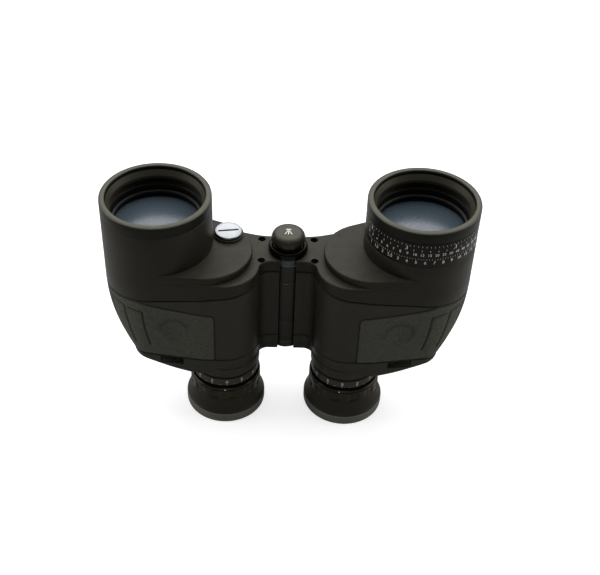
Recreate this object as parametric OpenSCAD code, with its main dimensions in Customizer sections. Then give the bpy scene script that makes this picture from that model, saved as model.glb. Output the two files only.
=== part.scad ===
// Marine binoculars with individually focused eyepieces, standing on the eyecups.
// Millimetres. +Z runs along the barrels towards the objectives.

/* [Objective barrels] */
// Distance of each objective axis from the hinge plane
obj_x = 74.6; // [68:0.1:80]
// Objective axis, front to back
obj_y = 3.1; // [0:0.1:6]
// Outer radius of the barrel
barrel_r = 31.5; // [29:0.1:33]
// Height of the rim above the eyecup faces
total_h = 143.8; // [138:0.1:150]
// Height where the rim sleeve starts
rim_z = 136.8; // [134:0.1:138]
// Height where the turning dial starts
dial_z = 120.9; // [118:0.1:124]
// Radius of the objective lens
lens_r = 25.2; // [24:0.1:26]
// Outer radius of the objective cell
cell_r = 29.25; // [28.5:0.05:30]

/* [Prism body] */
// Top of the hinge plate
plate_z = 106.0; // [104:0.1:108]
// Top of the raised prism dome
dome_z = 111.0; // [109:0.1:113]
// Distance of the dome centre from the hinge plane
dome_x = 47.2; // [44:0.1:50]
// Dome centre, front to back
dome_y = -3.3; // [-6:0.1:0]
// Radius of the dome
dome_r = 26.8; // [25:0.1:28]
// Upper seam height at the hinge
seam_top = 98.6; // [96:0.1:100]
// Upper seam height at the outer edge
seam_out = 89.0; // [86:0.1:92]
// Lower seam height
seam_low = 48.7; // [46:0.1:52]
// Outer edge of the body at the lower seam
low_x = 89.6; // [86:0.1:94]
// Lowest level of the rear cover
base_z = 37.0; // [35:0.1:40]
// Thickness of the rubber armour
skin = 2.4; // [1.5:0.1:3]
// Thickness of the casting wall
wall = 2.6; // [2:0.1:4]
// Inner edge of the grip pad
pad_x = 41.2; // [38:0.1:46]
// Depth of the grip pad
pad_t = 1.0; // [0.6:0.1:1.5]

/* [Hinge] */
// Hinge axis, front to back
hinge_y = 3.9; // [2:0.1:6]
// Half thickness of the hinge plate
hinge_t = 11.5; // [10:0.1:13]
// Half width of the slot between the armour edges
slot_x = 4.8; // [4:0.1:6]
// Radius of the knuckles
knuckle_r = 10.6; // [9:0.1:11]
// Radius of the axle
axle_r = 5.0; // [4:0.1:6]
// Radius of the tripod socket
socket_r = 3.175; // [3.1:0.005:3.3]

/* [Eyepieces] */
// Distance of each eyepiece axis from the hinge plane
eye_x = 36.4; // [34:0.1:39]
// Eyepiece axis, front to back
eye_y = -10.5; // [-14:0.1:-8]
// Radius of the column that carries the eyepiece
column_r = 20.3; // [19:0.1:22]
// Radius of the eyecup
cup_r = 24.1; // [22:0.1:25]
// Radius of the focus ring
focus_r = 21.3; // [20:0.1:22]
// Number of grips round the focus ring
focus_grips = 30; // [20:1:40]
// Outer radius of the fixed eyepiece tube
tube_r = 17.0; // [16:0.1:18]

/* [Battery and compass light] */
// Battery cap axis, left to right
cap_x = -34.6; // [-38:0.1:-32]
// Battery cap axis, front to back
cap_y = 10.3; // [8:0.1:12]
// Radius of the battery cap
cap_r = 8.0; // [7:0.1:9]
// Compass axis, left to right
compass_x = -57.0; // [-62:0.1:-52]
// Compass window centre on the body wall, front to back
compass_y = 30.0; // [28:0.1:32]
// Height of the compass window
compass_z = 82.0; // [78:0.1:90]

/* [Hidden] */
$fn = 96;
run = 0.05;
dip = 0.02;
big = 300;
hinge_front = hinge_y - hinge_t;
hinge_back = hinge_y + hinge_t + 0.9;
fillet_r = 6;
carrier_r = tube_r - 1.55;
shelf_z = 78;
prism_h = 27;
prism_step = 28.7;
out_x = obj_x + barrel_r;
cap_z = dome_z + 1.3;
side_run = (out_x - low_x) * 1.3;
side_rise = (seam_out - seam_low) * 1.3;
lock_z = [43.3, 57.0, 87.9, 100.9, 106.0];

// ---- plan shapes, all drawn for the right-hand side ----

module link(p, rp, q, rq) {
  span = norm(q - p);
  turn = atan2(q[1] - p[1], q[0] - p[0]);
  lean = acos((rp - rq) / span);
  hi = [cos(turn + lean), sin(turn + lean)];
  lo = [cos(turn - lean), sin(turn - lean)];
  polygon([p + (rp - dip) * hi, q + (rq - dip) * hi, q + (rq - dip) * lo, p + (rp - dip) * lo]);
}

module pod(g) {
  eye = [eye_x, eye_y];
  dome = [dome_x, dome_y];
  obj = [obj_x, obj_y];
  translate(eye) circle(r = column_r - g);
  translate(dome) circle(r = dome_r + 0.7 - g);
  translate(obj) circle(r = barrel_r - g);
  link(eye, column_r - g, dome, dome_r + 0.7 - g);
  link(dome, dome_r + 0.7 - g, obj, barrel_r - g);
  polygon([eye, dome, obj]);
}

module bridge(g, edge) {
  mid_y = hinge_front - fillet_r;
  mid_x = eye_x - sqrt(pow(column_r + fillet_r, 2) - pow(mid_y - eye_y, 2));
  kiss = [eye_x, eye_y] + (column_r - g) / (column_r + fillet_r) * [mid_x - eye_x, mid_y - eye_y];
  polygon([[edge, hinge_front + g], [eye_x, hinge_front + g], [dome_x, dome_y + dome_r - g],
    [25, hinge_back + 2.9 - g], [12, hinge_back - g], [edge, hinge_back - g]]);
  difference() {
    polygon([[mid_x, hinge_front + g + 1], [kiss[0] + 4, hinge_front + g + 1],
      [kiss[0] + 4, kiss[1]], kiss, [mid_x, mid_y]]);
    translate([mid_x, mid_y]) circle(r = fillet_r + g);
    translate([0, mid_y - big]) square([eye_x - column_r, big]);
  }
}

module plan(g, edge) {
  pod(g);
  bridge(g, edge);
}

module front_view(pts) {
  translate([0, big / 2, 0])
    rotate([90, 0, 0])
      linear_extrude(height = big)
        polygon(pts);
}

// side taper of the pod, inset by g
module taper(g) {
  front_view([[-20, base_z + g], [57, base_z + g], [low_x - g, seam_low + g * 0.4],
    [low_x - g + side_run, seam_low + g * 0.4 + side_rise], [out_x + 20, 200], [-20, 200]]);
}

module block(g, edge, z0, z1) {
  intersection() {
    translate([0, 0, z0])
      linear_extrude(height = z1 - z0)
        plan(g, edge);
    taper(g);
  }
}

module above_seam() {
  front_view([[-20, seam_top], [20, seam_top], [out_x, seam_out], [out_x + 20, seam_out - 2],
    [out_x + 20, 200], [-20, 200]]);
}

module knuckle_way() {
  translate([0, hinge_y, -1])
    cylinder(r = knuckle_r + 0.3, h = 200);
}

module pad_zone() {
  front_view([[pad_x + 2.5, seam_low + 1.2], [pad_x, seam_low + 4], [pad_x, 81.2],
    [pad_x + 1, 82.7], [pad_x + 2.6, 83.6], [69, 86.6], [84, 89.2], [out_x + 5, seam_out - 0.6],
    [out_x + 5, seam_low + 1.2]]);
}

// round parts on the objective or eyepiece axis
module at_obj(z) {
  translate([obj_x, obj_y, z])
    children();
}

module at_eye(z) {
  translate([eye_x, eye_y, z])
    children();
}

module ring(ro, ri, h) {
  difference() {
    cylinder(r = ro, h = h);
    translate([0, 0, -1])
      cylinder(r = ri, h = h + 2);
  }
}

module turned(pts) {
  rotate_extrude()
    polygon(pts);
}

// ---- casting ----

module cavity(g) {
  intersection() {
    translate([0, 0, 44.5 + g])
      linear_extrude(height = 101 - 44.5 - 2 * g)
        intersection() {
          pod(skin + wall + g);
          translate([20 + g, -60])
            square([100, 120]);
        }
    taper(skin + wall + g);
  }
  translate([dome_x, dome_y, 60])
    cylinder(r = dome_r - 5.2 - g, h = dome_z - 64 - g);
}

module lock_band(a, b) {
  translate([0, hinge_y, lock_z[a] + 0.15])
    cylinder(r = knuckle_r, h = lock_z[b] - lock_z[a] - 0.3);
  translate([0, hinge_y - 5, lock_z[a] + 0.15])
    cube([20, 10, min(lock_z[b] - 0.15, plate_z - skin) - lock_z[a] - 0.15]);
}

module screw_places() {
  for (dy = [8.9, -10.5])
    translate([15.2, hinge_y + dy, 0])
      children();
}

module housing(mine) {
  difference() {
    union() {
      difference() {
        union() {
          block(skin, slot_x, 41, plate_z - skin);
          translate([dome_x, dome_y, 60])
            cylinder(r = dome_r - 2.2, h = dome_z - 62.2);
        }
        knuckle_way();
        cavity(0);
      }
      for (pair = mine)
        lock_band(pair[0], pair[1]);
    }
    strap_block(seam_low);
    at_obj(90)
      cylinder(r = 27, h = 60);
    at_eye(20)
      cylinder(r = 15.5, h = 30);
    translate([0, hinge_y, 30])
      cylinder(r = axle_r + (mine[0][0] == 0 ? 0 : run), h = 90);
    screw_places()
      translate([0, 0, 98.8])
        cylinder(r = 2.1, h = 20);
  }
}

module front_cover() {
  difference() {
    union() {
      intersection() {
        block(0, slot_x, 80, plate_z);
        above_seam();
      }
      translate([0, 0, plate_z - 5])
        linear_extrude(height = dome_z - plate_z + 5) {
          translate([dome_x, dome_y]) circle(r = dome_r);
          link([dome_x, dome_y], dome_r, [obj_x, obj_y], barrel_r - 0.02);
        }
      at_obj(plate_z - 5)
        cylinder(r = barrel_r - 0.04, h = dome_z - plate_z + 5);
    }
    block(skin, slot_x - 1, 70, plate_z - skin);
    translate([dome_x, dome_y, 60])
      cylinder(r = dome_r - 2.2, h = dome_z - 62.2);
    at_obj(70)
      cylinder(r = cell_r, h = 100);
    knuckle_way();
    screw_places()
      translate([0, 0, 98.8])
        cylinder(r = 2.1, h = 20);
  }
}

module barrel_tube(top) {
  at_obj(dome_z)
    ring(barrel_r - 0.04, cell_r, top - dome_z);
}

module armour() {
  difference() {
    block(0, slot_x, seam_low, plate_z);
    above_seam();
    block(skin, slot_x - 1, 30, 200);
    knuckle_way();
    intersection() {
      pad_zone();
      difference() {
        block(-1, slot_x, 40, 110);
        block(pad_t, slot_x - 1, 30, 200);
      }
    }
  }
}

module grip_pad() {
  intersection() {
    difference() {
      block(0, slot_x, seam_low, plate_z);
      block(pad_t, slot_x - 1, 30, 200);
    }
    pad_zone();
    translate([slot_x, -100, 0])
      cube([200, 200, 200]);
  }
}

module strap_block(z) {
  translate([57.5, -45, 30])
    cube([19, 25, z - 30]);
}

module rear_cover() {
  difference() {
    union() {
      block(0, slot_x, base_z, seam_low);
      at_eye(35)
        cylinder(r = column_r + 0.5, h = 6);
    }
    difference() {
      block(skin, slot_x - 1, 41, 60);
      strap_block(80);
    }
    at_eye(30)
      cylinder(r = tube_r, h = 30);
    knuckle_way();
    translate([60, -40, 43.4])
      cube([14, 15.8, 5]);
    translate([60, -26.5, 30])
      cube([14, 2.3, 18.4]);
  }
}

// ---- objective ----

module objective_rim() {
  at_obj(rim_z)
    turned([[cell_r, 0], [barrel_r, 0], [barrel_r, total_h - rim_z - 1.6],
      [barrel_r - 0.35, total_h - rim_z - 0.7], [barrel_r - 1.1, total_h - rim_z - 0.1],
      [barrel_r - 1.6, total_h - rim_z], [29, total_h - rim_z], [28.3, total_h - rim_z - 0.3],
      [28, total_h - rim_z - 0.9], [28, 4.7], [cell_r, 4.7]]);
}

module objective_cell() {
  at_obj(0)
    turned([[27, 109.2], [cell_r, 109.2], [cell_r, 141.5], [27.6, 141.5], [25.8, 138], [25.8, 134],
      [26.4, 133.6], [26.4, 132.6], [25.6, 132.2], [25.6, 119], [24, 119], [24, 116], [27, 114]]);
}

module lens_ring() {
  at_obj(124.9)
    ring(25.6, 24.4, 2.3);
}

module objective_lens() {
  at_obj(0)
    intersection() {
      translate([0, 0, 119])
        cylinder(r = lens_r, h = 9);
      translate([0, 0, 17.5])
        sphere(r = 110);
    }
}

// ---- prisms ----

module roof(wide) {
  rotate([90, 0, 0])
    translate([0, 0, -wide / 2])
      linear_extrude(height = wide)
        polygon([[-prism_step + 2, 0], [prism_step - 2, 0], [prism_step - 2, 2],
          [prism_step - prism_h, prism_h], [prism_h - prism_step, prism_h], [2 - prism_step, 2]]);
}

module prism_lower() {
  intersection() {
    translate([61.7, 9.3, shelf_z - 1.1])
      rotate([0, 0, -25.4])
        mirror([0, 0, 1])
          roof(23);
    cavity(0.3);
  }
}

module prism_upper() {
  intersection() {
    translate([42.5, 2.5, shelf_z + 1.1])
      rotate([0, 0, 64.6])
        roof(22);
    union() {
      translate([0, 0, 70])
        linear_extrude(height = 30.6)
          pod(skin + wall + 0.4);
      translate([dome_x, dome_y, 60])
        cylinder(r = dome_r - 5.6, h = dome_z - 64.6);
    }
    translate([20.4, -100, 0])
      cube([100, 200, 200]);
  }
}

module prism_shelf() {
  difference() {
    translate([0, 0, shelf_z - 1])
      linear_extrude(height = 2)
        intersection() {
          pod(skin + wall);
          translate([20, -60])
            square([81, 120]);
        }
    for (c = [[obj_x, obj_y, 12], [48, 10, 7], [eye_x, eye_y, 8.5]])
      translate([c[0], c[1], shelf_z - 3])
        cylinder(r = c[2], h = 6);
    difference() {
      translate([60, -60, shelf_z - 3])
        cube([80, 120, 6]);
      taper(skin + wall);
    }
  }
}

// ---- eyepiece ----

module eyepiece_tube() {
  at_eye(0)
    turned([[15.5, 14], [tube_r, 14], [tube_r, 41], [15.5, 41]]);
}

module dioptre_ring() {
  at_eye(27.7)
    ring(20.2, tube_r, 5.3);
}

module ocular_carrier() {
  at_eye(0)
    turned([[11.2, 6.5], [carrier_r - 0.5, 6.5], [carrier_r, 7], [carrier_r, 34], [13.4, 34],
      [13.4, 28], [12.2, 28], [12.2, 16], [11.2, 16]]);
}

module field_lens() {
  at_eye(0)
    intersection() {
      translate([0, 0, 28])
        cylinder(r = 13.4, h = 5);
      translate([0, 0, 33 - 40])
        sphere(r = 40);
    }
}

module eye_lens() {
  at_eye(0)
    intersection() {
      translate([0, 0, 8.5])
        cylinder(r = 11.2, h = 6);
      translate([0, 0, 8.5 + 34])
        sphere(r = 34);
    }
}

module focus_ring() {
  at_eye(0)
    difference() {
      turned([[tube_r + run, 15.9], [focus_r - 0.3, 15.9], [focus_r, 16.3], [focus_r, 23.7],
        [focus_r - 0.3, 24.1], [focus_r - 0.3, 25.3], [focus_r - 0.7, 25.7], [tube_r + run, 25.7]]);
      for (k = [0 : focus_grips - 1])
        rotate([0, 0, k * 360 / focus_grips])
          translate([focus_r + 1.2, 0, 16.8])
            cylinder(r = 1.9, h = 6.4);
    }
}

module eyecup() {
  at_eye(0)
    turned([[22.3, 0], [cup_r - 0.4, 0], [cup_r - 0.1, 0.6], [cup_r, 5.9], [22.9, 7.4],
      [22.1, 9.4], [21.6, 12.7], [focus_r - 0.2, 15.9], [tube_r + 0.3, 15.9], [tube_r + 0.3, 11.9],
      [carrier_r + 0.3, 11.9], [carrier_r + 0.3, 6], [17.6, 6], [21.7, 0.6]]);
}

// ---- hinge screws ----

module hinge_screws() {
  screw_places()
    difference() {
      translate([0, 0, 98.9])
        cylinder(r = 2.1, h = 5.5);
      translate([0, 0, 103])
        cylinder(r = 1.1, h = 3, $fn = 6);
    }
}

// ---- nodes of the two sides ----

module left_side() {
  mirror([1, 0, 0])
    children();
}

module at_compass(d) {
  translate([compass_x, compass_y, compass_z])
    rotate([0, 0, -21.3])
      rotate([-90, 0, 0])
        translate([0, 0, d])
          children();
}

module at_button(d) {
  translate([compass_x + 21.2, 0, compass_z])
    rotate([-90, 0, 0])
      translate([0, 0, d])
        children();
}

module at_cap(z) {
  translate([cap_x, cap_y, z])
    children();
}

module left_housing() {
  color([0.2, 0.2, 0.19])
    difference() {
      left_side()
        housing([[0, 1], [2, 3]]);
      at_compass(-9)
        cylinder(r = 7, h = 30);
      at_compass(-4.65)
        cylinder(r = 9.05, h = 30);
      at_button(10)
        cylinder(r = 5.2, h = 60);
      at_cap(plate_z + 1.05)
        cylinder(r = cap_r + 0.85, h = 20);
    }
}

module right_housing() {
  color([0.2, 0.2, 0.19])
    housing([[1, 2], [3, 4]]);
}

module left_front_cover() {
  color([0.36, 0.35, 0.32])
    difference() {
      union() {
        left_side()
          front_cover();
        translate([cap_x, cap_y, plate_z + 1.1])
          cylinder(r = cap_r + 0.8, h = cap_z - plate_z - 1.1);
      }
      translate([cap_x, cap_y, 107.6])
        cylinder(r = 6.9, h = 20);
    }
}

module right_front_cover() {
  color([0.36, 0.35, 0.32])
    front_cover();
}

module left_barrel_tube() {
  color([0.36, 0.35, 0.32])
    left_side()
      barrel_tube(rim_z);
}

module right_barrel_tube() {
  color([0.36, 0.35, 0.32])
    barrel_tube(dial_z - 0.3);
}

module left_armour() {
  color([0.33, 0.33, 0.31])
    difference() {
      left_side()
        armour();
      at_compass(-9)
        cylinder(r = 9.05, h = 40);
      at_button(10)
        cylinder(r = 5.2, h = 60);
    }
}

module right_armour() {
  color([0.33, 0.33, 0.31])
    armour();
}

module left_grip_pad() {
  color([0.38, 0.38, 0.35])
    difference() {
      left_side()
        grip_pad();
      translate([compass_x - 11, 0, compass_z - 20])
        cube([60, 60, 40]);
    }
}

module right_grip_pad() {
  color([0.38, 0.38, 0.35])
    grip_pad();
}

module left_rear_cover() {
  color([0.3, 0.3, 0.28])
    left_side()
      rear_cover();
}

module right_rear_cover() {
  color([0.3, 0.3, 0.28])
    rear_cover();
}

module left_objective_rim() {
  color([0.4, 0.42, 0.42])
    left_side()
      objective_rim();
}

module right_objective_rim() {
  color([0.4, 0.42, 0.42])
    objective_rim();
}

module left_objective_cell() {
  color([0.06, 0.06, 0.06])
    left_side()
      objective_cell();
}

module right_objective_cell() {
  color([0.06, 0.06, 0.06])
    objective_cell();
}

module left_lens_ring() {
  color([0.05, 0.05, 0.05])
    left_side()
      lens_ring();
}

module right_lens_ring() {
  color([0.05, 0.05, 0.05])
    lens_ring();
}

module left_objective_lens() {
  color([0.5, 0.6, 0.9, 0.4])
    left_side()
      objective_lens();
}

module right_objective_lens() {
  color([0.5, 0.6, 0.9, 0.4])
    objective_lens();
}

module left_prism_lower() {
  color([0.8, 0.85, 0.9, 0.4])
    left_side()
      prism_lower();
}

module right_prism_lower() {
  color([0.8, 0.85, 0.9, 0.4])
    prism_lower();
}

module left_prism_upper() {
  color([0.8, 0.85, 0.9, 0.4])
    left_side()
      prism_upper();
}

module right_prism_upper() {
  color([0.8, 0.85, 0.9, 0.4])
    prism_upper();
}

module left_prism_shelf() {
  color([0.5, 0.5, 0.5])
    left_side()
      prism_shelf();
}

module right_prism_shelf() {
  color([0.5, 0.5, 0.5])
    prism_shelf();
}

module left_eyepiece_tube() {
  color([0.12, 0.12, 0.12])
    left_side()
      eyepiece_tube();
}

module right_eyepiece_tube() {
  color([0.12, 0.12, 0.12])
    eyepiece_tube();
}

module left_dioptre_ring() {
  color([0.1, 0.1, 0.1])
    left_side()
      dioptre_ring();
}

module right_dioptre_ring() {
  color([0.1, 0.1, 0.1])
    dioptre_ring();
}

module left_ocular_carrier() {
  color([0.08, 0.08, 0.08])
    left_side()
      ocular_carrier();
}

module right_ocular_carrier() {
  color([0.08, 0.08, 0.08])
    ocular_carrier();
}

module left_field_lens() {
  color([0.7, 0.8, 0.9, 0.4])
    left_side()
      field_lens();
}

module right_field_lens() {
  color([0.7, 0.8, 0.9, 0.4])
    field_lens();
}

module left_eye_lens() {
  color([0.7, 0.8, 0.9, 0.4])
    left_side()
      eye_lens();
}

module right_eye_lens() {
  color([0.7, 0.8, 0.9, 0.4])
    eye_lens();
}

module left_focus_ring() {
  color([0.1, 0.1, 0.1])
    left_side()
      focus_ring();
}

module right_focus_ring() {
  color([0.1, 0.1, 0.1])
    focus_ring();
}

module left_eyecup() {
  color([0.12, 0.12, 0.12])
    left_side()
      eyecup();
}

module right_eyecup() {
  color([0.12, 0.12, 0.12])
    eyecup();
}

module left_hinge_screws() {
  color([0.1, 0.1, 0.1])
    left_side()
      hinge_screws();
}

module right_hinge_screws() {
  color([0.1, 0.1, 0.1])
    hinge_screws();
}

module dial_ring() {
  color([0.3, 0.3, 0.3])
    at_obj(dial_z)
      ring(barrel_r - 0.2, cell_r + run, rim_z - dial_z - 0.3);
}

// ---- battery, compass and its light ----

module battery_cap() {
  color([0.85, 0.85, 0.86])
    difference() {
      union() {
        at_cap(cap_z + 0.05)
          cylinder(r = cap_r, h = 1.5);
        at_cap(cap_z + 1.5)
          cylinder(r1 = cap_r, r2 = cap_r - 0.4, h = 0.4);
        at_cap(110.3)
          cylinder(r = 6.85, h = cap_z - 110.2);
      }
      at_cap(111.3)
        rotate_extrude()
          translate([6.4, 0])
            circle(r = 0.48, $fn = 32);
      at_cap(cap_z + 1.9)
        rotate([0, 0, 8])
          translate([-6.2, -0.7, -0.9])
            cube([12.4, 1.4, 2]);
    }
}

module battery_seal() {
  color([0.05, 0.05, 0.05])
    at_cap(111.3)
      rotate_extrude()
        translate([6.4, 0])
          circle(r = 0.45, $fn = 32);
}

module battery_cell() {
  color([0.8, 0.8, 0.8])
    at_cap(108.1)
      cylinder(r = 6.2, h = 2);
}

module battery_contact() {
  color([0.8, 0.7, 0.3])
    at_cap(107.6)
      ring(5, 2, 0.5);
}

module compass_bezel() {
  color([0.1, 0.1, 0.1])
    at_compass(-4.6)
      ring(9, 7, 6.6);
}

module compass_window() {
  color([0.9, 0.9, 0.85, 0.5])
    at_compass(-1.1)
      cylinder(r = 6.98, h = 2);
}

module compass_capsule() {
  color([0.9, 0.9, 0.8])
    difference() {
      at_compass(-4.6)
        cylinder(r = 6.9, h = 3.4);
      at_compass(-2.2)
        cylinder(r = 5.6, h = 2);
    }
}

module light_button() {
  color([0.6, 0.1, 0.1]) {
    at_button(20.4)
      cylinder(r = 5.15, h = 4.2);
    at_button(24.6)
      cylinder(r1 = 5.15, r2 = 4.4, h = 0.7);
  }
}

// ---- hinge ----

module hinge_axle() {
  color([0.7, 0.7, 0.7])
    difference() {
      translate([0, hinge_y, 38])
        cylinder(r = axle_r, h = 57.6);
      translate([0, hinge_y, 84])
        cylinder(r = 3.6, h = 20);
    }
}

module hinge_washers() {
  color([0.9, 0.9, 0.85])
    for (k = [1, 2, 3])
      translate([0, hinge_y, lock_z[k] - 0.1])
        ring(knuckle_r - 0.4, axle_r, 0.2);
}

module hinge_nut() {
  color([0.3, 0.3, 0.3])
    translate([0, hinge_y, 0])
      difference() {
        turned([[0, 37], [knuckle_r - 1, 37], [knuckle_r, 38], [knuckle_r, 43.45], [0, 43.45]]);
        translate([0, 0, 38])
          cylinder(r = axle_r, h = 20);
        for (x = [-5.5, 5.5])
          translate([x, 0, 36])
            cylinder(r = 1.1, h = 2.5);
      }
}

module tripod_socket() {
  color([0.08, 0.08, 0.09])
    translate([0, hinge_y, 0])
      turned([[socket_r, 95.6], [axle_r, 95.6], [axle_r, 106.3], [11.4, 106.3], [11.4, 107.4],
        [10.9, 107.9], [6.9, 107.9], [6.9, 110.5], [socket_r, 110.5]]);
}

module tripod_cap() {
  color([0.42, 0.4, 0.35])
    translate([0, hinge_y, 0])
      difference() {
        turned([[0, 110.9], [7, 110.9], [7, 108.2], [8.2, 108.2], [8.2, 112.6], [9.3, 112.8],
          [9.9, 113.6], [9.9, 114.4], [7.2, 118.6], [6.6, 118.9], [0, 118.9]]);
        translate([0, 0, 109.2])
          rotate_extrude()
            translate([8.2, 0])
              circle(r = 0.55, $fn = 32);
      }
}

module tripod_seal() {
  color([0.04, 0.04, 0.04])
    translate([0, hinge_y, 109.2])
      rotate_extrude()
        translate([8.2, 0])
          circle(r = 0.52, $fn = 32);
}

left_housing();
left_front_cover();
left_barrel_tube();
left_armour();
left_grip_pad();
left_rear_cover();
left_objective_rim();
left_objective_cell();
left_lens_ring();
left_objective_lens();
left_prism_lower();
left_prism_upper();
left_prism_shelf();
left_eyepiece_tube();
left_dioptre_ring();
left_ocular_carrier();
left_field_lens();
left_eye_lens();
left_focus_ring();
left_eyecup();
left_hinge_screws();
right_housing();
right_front_cover();
right_barrel_tube();
right_armour();
right_grip_pad();
right_rear_cover();
right_objective_rim();
right_objective_cell();
right_lens_ring();
right_objective_lens();
right_prism_lower();
right_prism_upper();
right_prism_shelf();
right_eyepiece_tube();
right_dioptre_ring();
right_ocular_carrier();
right_field_lens();
right_eye_lens();
right_focus_ring();
right_eyecup();
right_hinge_screws();
dial_ring();
battery_cap();
battery_seal();
battery_cell();
battery_contact();
compass_bezel();
compass_window();
compass_capsule();
light_button();
hinge_axle();
hinge_washers();
hinge_nut();
tripod_socket();
tripod_cap();
tripod_seal();
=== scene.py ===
import math
import bpy
import bmesh
import numpy as np
from mathutils import Matrix, Vector


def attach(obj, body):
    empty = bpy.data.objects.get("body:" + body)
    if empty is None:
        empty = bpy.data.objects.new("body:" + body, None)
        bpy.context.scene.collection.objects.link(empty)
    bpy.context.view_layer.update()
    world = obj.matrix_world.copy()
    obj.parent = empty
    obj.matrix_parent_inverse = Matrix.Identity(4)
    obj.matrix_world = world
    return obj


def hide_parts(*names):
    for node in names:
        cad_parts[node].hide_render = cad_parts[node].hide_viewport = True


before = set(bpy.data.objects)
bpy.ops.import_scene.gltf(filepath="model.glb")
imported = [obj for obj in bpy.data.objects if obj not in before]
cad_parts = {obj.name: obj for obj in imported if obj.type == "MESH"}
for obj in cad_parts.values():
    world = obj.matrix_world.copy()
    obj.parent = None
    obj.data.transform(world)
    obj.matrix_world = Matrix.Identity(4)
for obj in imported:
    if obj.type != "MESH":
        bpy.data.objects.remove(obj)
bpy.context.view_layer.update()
print("frame loaded")

# All shape values are millimetres in the frame's own axes and become metres in meshObject.
# Every half is drawn for the +X side; side = -1 mirrors it.

bodyShape = {
    "eye": (36.4, -10.5, 20.3),
    "dome": (47.2, -3.3, 27.5),
    "barrel": (74.6, 3.1, 31.5),
    "lowFront": (80.6, -16.6, 9.2),
    "lowBack": (79.0, 13.0, 10.0),
    "hingeY": 3.9,
    "footTurn": 56.0,
    "footSlope": 0.14,
    "footCurve": 0.0034,
    "swell": 2.3,
    "frontY": -7.6,
    "slot": 4.8,
    "fillet": 6.0,
    "seamLow": 48.7,
    "seamHinge": 98.6,
    "seamSlope": 0.1115,
    "fullAt": 89.0,
    "plateZ": 106.0,
    "domeZ": 111.0,
    "baseZ": 37.0,
}


def seamHigh(x):
    return bodyShape["seamHinge"] - np.maximum(np.abs(x) - 20.0, 0) * bodyShape["seamSlope"]


def bottomZ(x):
    b = bodyShape
    over = np.maximum(np.abs(x) - b["footTurn"], 0)
    return b["baseZ"] + over * b["footSlope"] + over ** 2 * b["footCurve"]


def hullOutline(circles, count=2880):
    # outline of the smallest convex shape round some circles, with its outward normals
    phi = np.linspace(math.radians(150), math.radians(510), count)
    nrm = np.stack([np.cos(phi), np.sin(phi)], 1)
    c = np.array(circles, float)
    best = (c[:, :2] @ nrm.T + c[:, 2:3]).argmax(0)
    return c[best, :2] + c[best, 2:3] * nrm, nrm


def resample(pts, nrm, count):
    step = np.hypot(*np.diff(pts, axis=0).T)
    run = np.concatenate([[0], np.cumsum(step)])
    keep = np.concatenate([[True], step > 1e-9])
    u = np.linspace(0, 1, count) * run[-1]
    out = np.stack([np.interp(u, run[keep], pts[keep, k]) for k in (0, 1)], 1)
    n = np.stack([np.interp(u, run[keep], nrm[keep, k]) for k in (0, 1)], 1)
    return out, n / np.linalg.norm(n, axis=1)[:, None]


outlineCounts = (170, 300, 90)
splitX = 58.0


def podOutline(level, trim=0.0):
    # open outline of one half, from the hinge slot round the front and outer side to the back
    b = bodyShape
    w = np.clip((level - b["seamLow"]) / (b["fullAt"] - b["seamLow"]), 0, 1)
    w = 1 - (1 - w) ** b["swell"]
    big = np.array(b["barrel"]) - (0, 0, trim)
    circles = [b["eye"], b["dome"]]
    circles += [tuple(np.array(b[k]) * (1 - w) + big * w) for k in ("lowFront", "lowBack")]
    pts, nrm = hullOutline(circles)
    # front: hinge plate, fillet, then the column
    ex, ey, er = b["eye"]
    fy = b["frontY"] - b["fillet"]
    fx = ex - math.sqrt((er + b["fillet"]) ** 2 - (fy - ey) ** 2)
    kiss = math.atan2(fy - ey, fx - ex) % (2 * math.pi)
    ang = np.linspace(math.pi / 2, kiss - math.pi, 40)
    arc = np.stack([fx + b["fillet"] * np.cos(ang), fy + b["fillet"] * np.sin(ang)], 1)
    arcN = np.stack([-np.cos(ang), -np.sin(ang)], 1)
    line = np.stack([np.linspace(b["slot"], fx, 30), np.full(30, b["frontY"])], 1)
    lineN = np.tile([0.0, -1.0], (30, 1))
    phi = np.unwrap(np.arctan2(nrm[:, 1], nrm[:, 0])) % (2 * math.pi)
    phi = np.where(phi < math.radians(149), phi + 2 * math.pi, phi)
    use = (phi > kiss) & (phi < math.radians(360 + 99))
    pod, podN = pts[use], nrm[use]
    # back: a soft curve from the dome down to the hinge plate
    tail = np.array([pod[-1], (33.5, 21.7), (25.0, 19.2), (18.0, 17.2), (12.0, 16.4), (b["slot"], 16.2)])
    s = np.linspace(0, len(tail) - 1, 80)
    back = np.stack([np.interp(s, range(len(tail)), tail[:, k]) for k in (0, 1)], 1)
    for _ in range(40):
        back[1:-1] = (back[:-2] + 2 * back[1:-1] + back[2:]) / 4
    d = np.gradient(back, axis=0)
    backN = np.stack([d[:, 1], -d[:, 0]], 1)
    backN = backN / np.linalg.norm(backN, axis=1)[:, None] * np.sign(backN[:, 1:2].mean())
    allP = np.concatenate([line[:-1], arc[:-1], pod, back[1:]])
    allN = np.concatenate([lineN[:-1], arcN[:-1], podN, backN[1:]])
    allP, allN = resample(allP, allN, 4000)
    front = np.argmax(allP[:, 0] > splitX)
    rear = len(allP) - np.argmax(allP[::-1, 0] > splitX)
    parts = []
    for a, z, n in zip((0, front - 1, rear - 1), (front, rear, len(allP)), outlineCounts):
        parts.append(resample(allP[a:z], allN[a:z], n))
    p = np.concatenate([parts[0][0], parts[1][0][1:], parts[2][0][1:]])
    q = np.concatenate([parts[0][1], parts[1][1][1:], parts[2][1][1:]])
    return p, q


tableZ = np.arange(36.0, 112.1, 1.0)
podTable = [podOutline(z) for z in tableZ]
tableP = np.array([t[0] for t in podTable])
tableN = np.array([t[1] for t in podTable])


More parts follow.
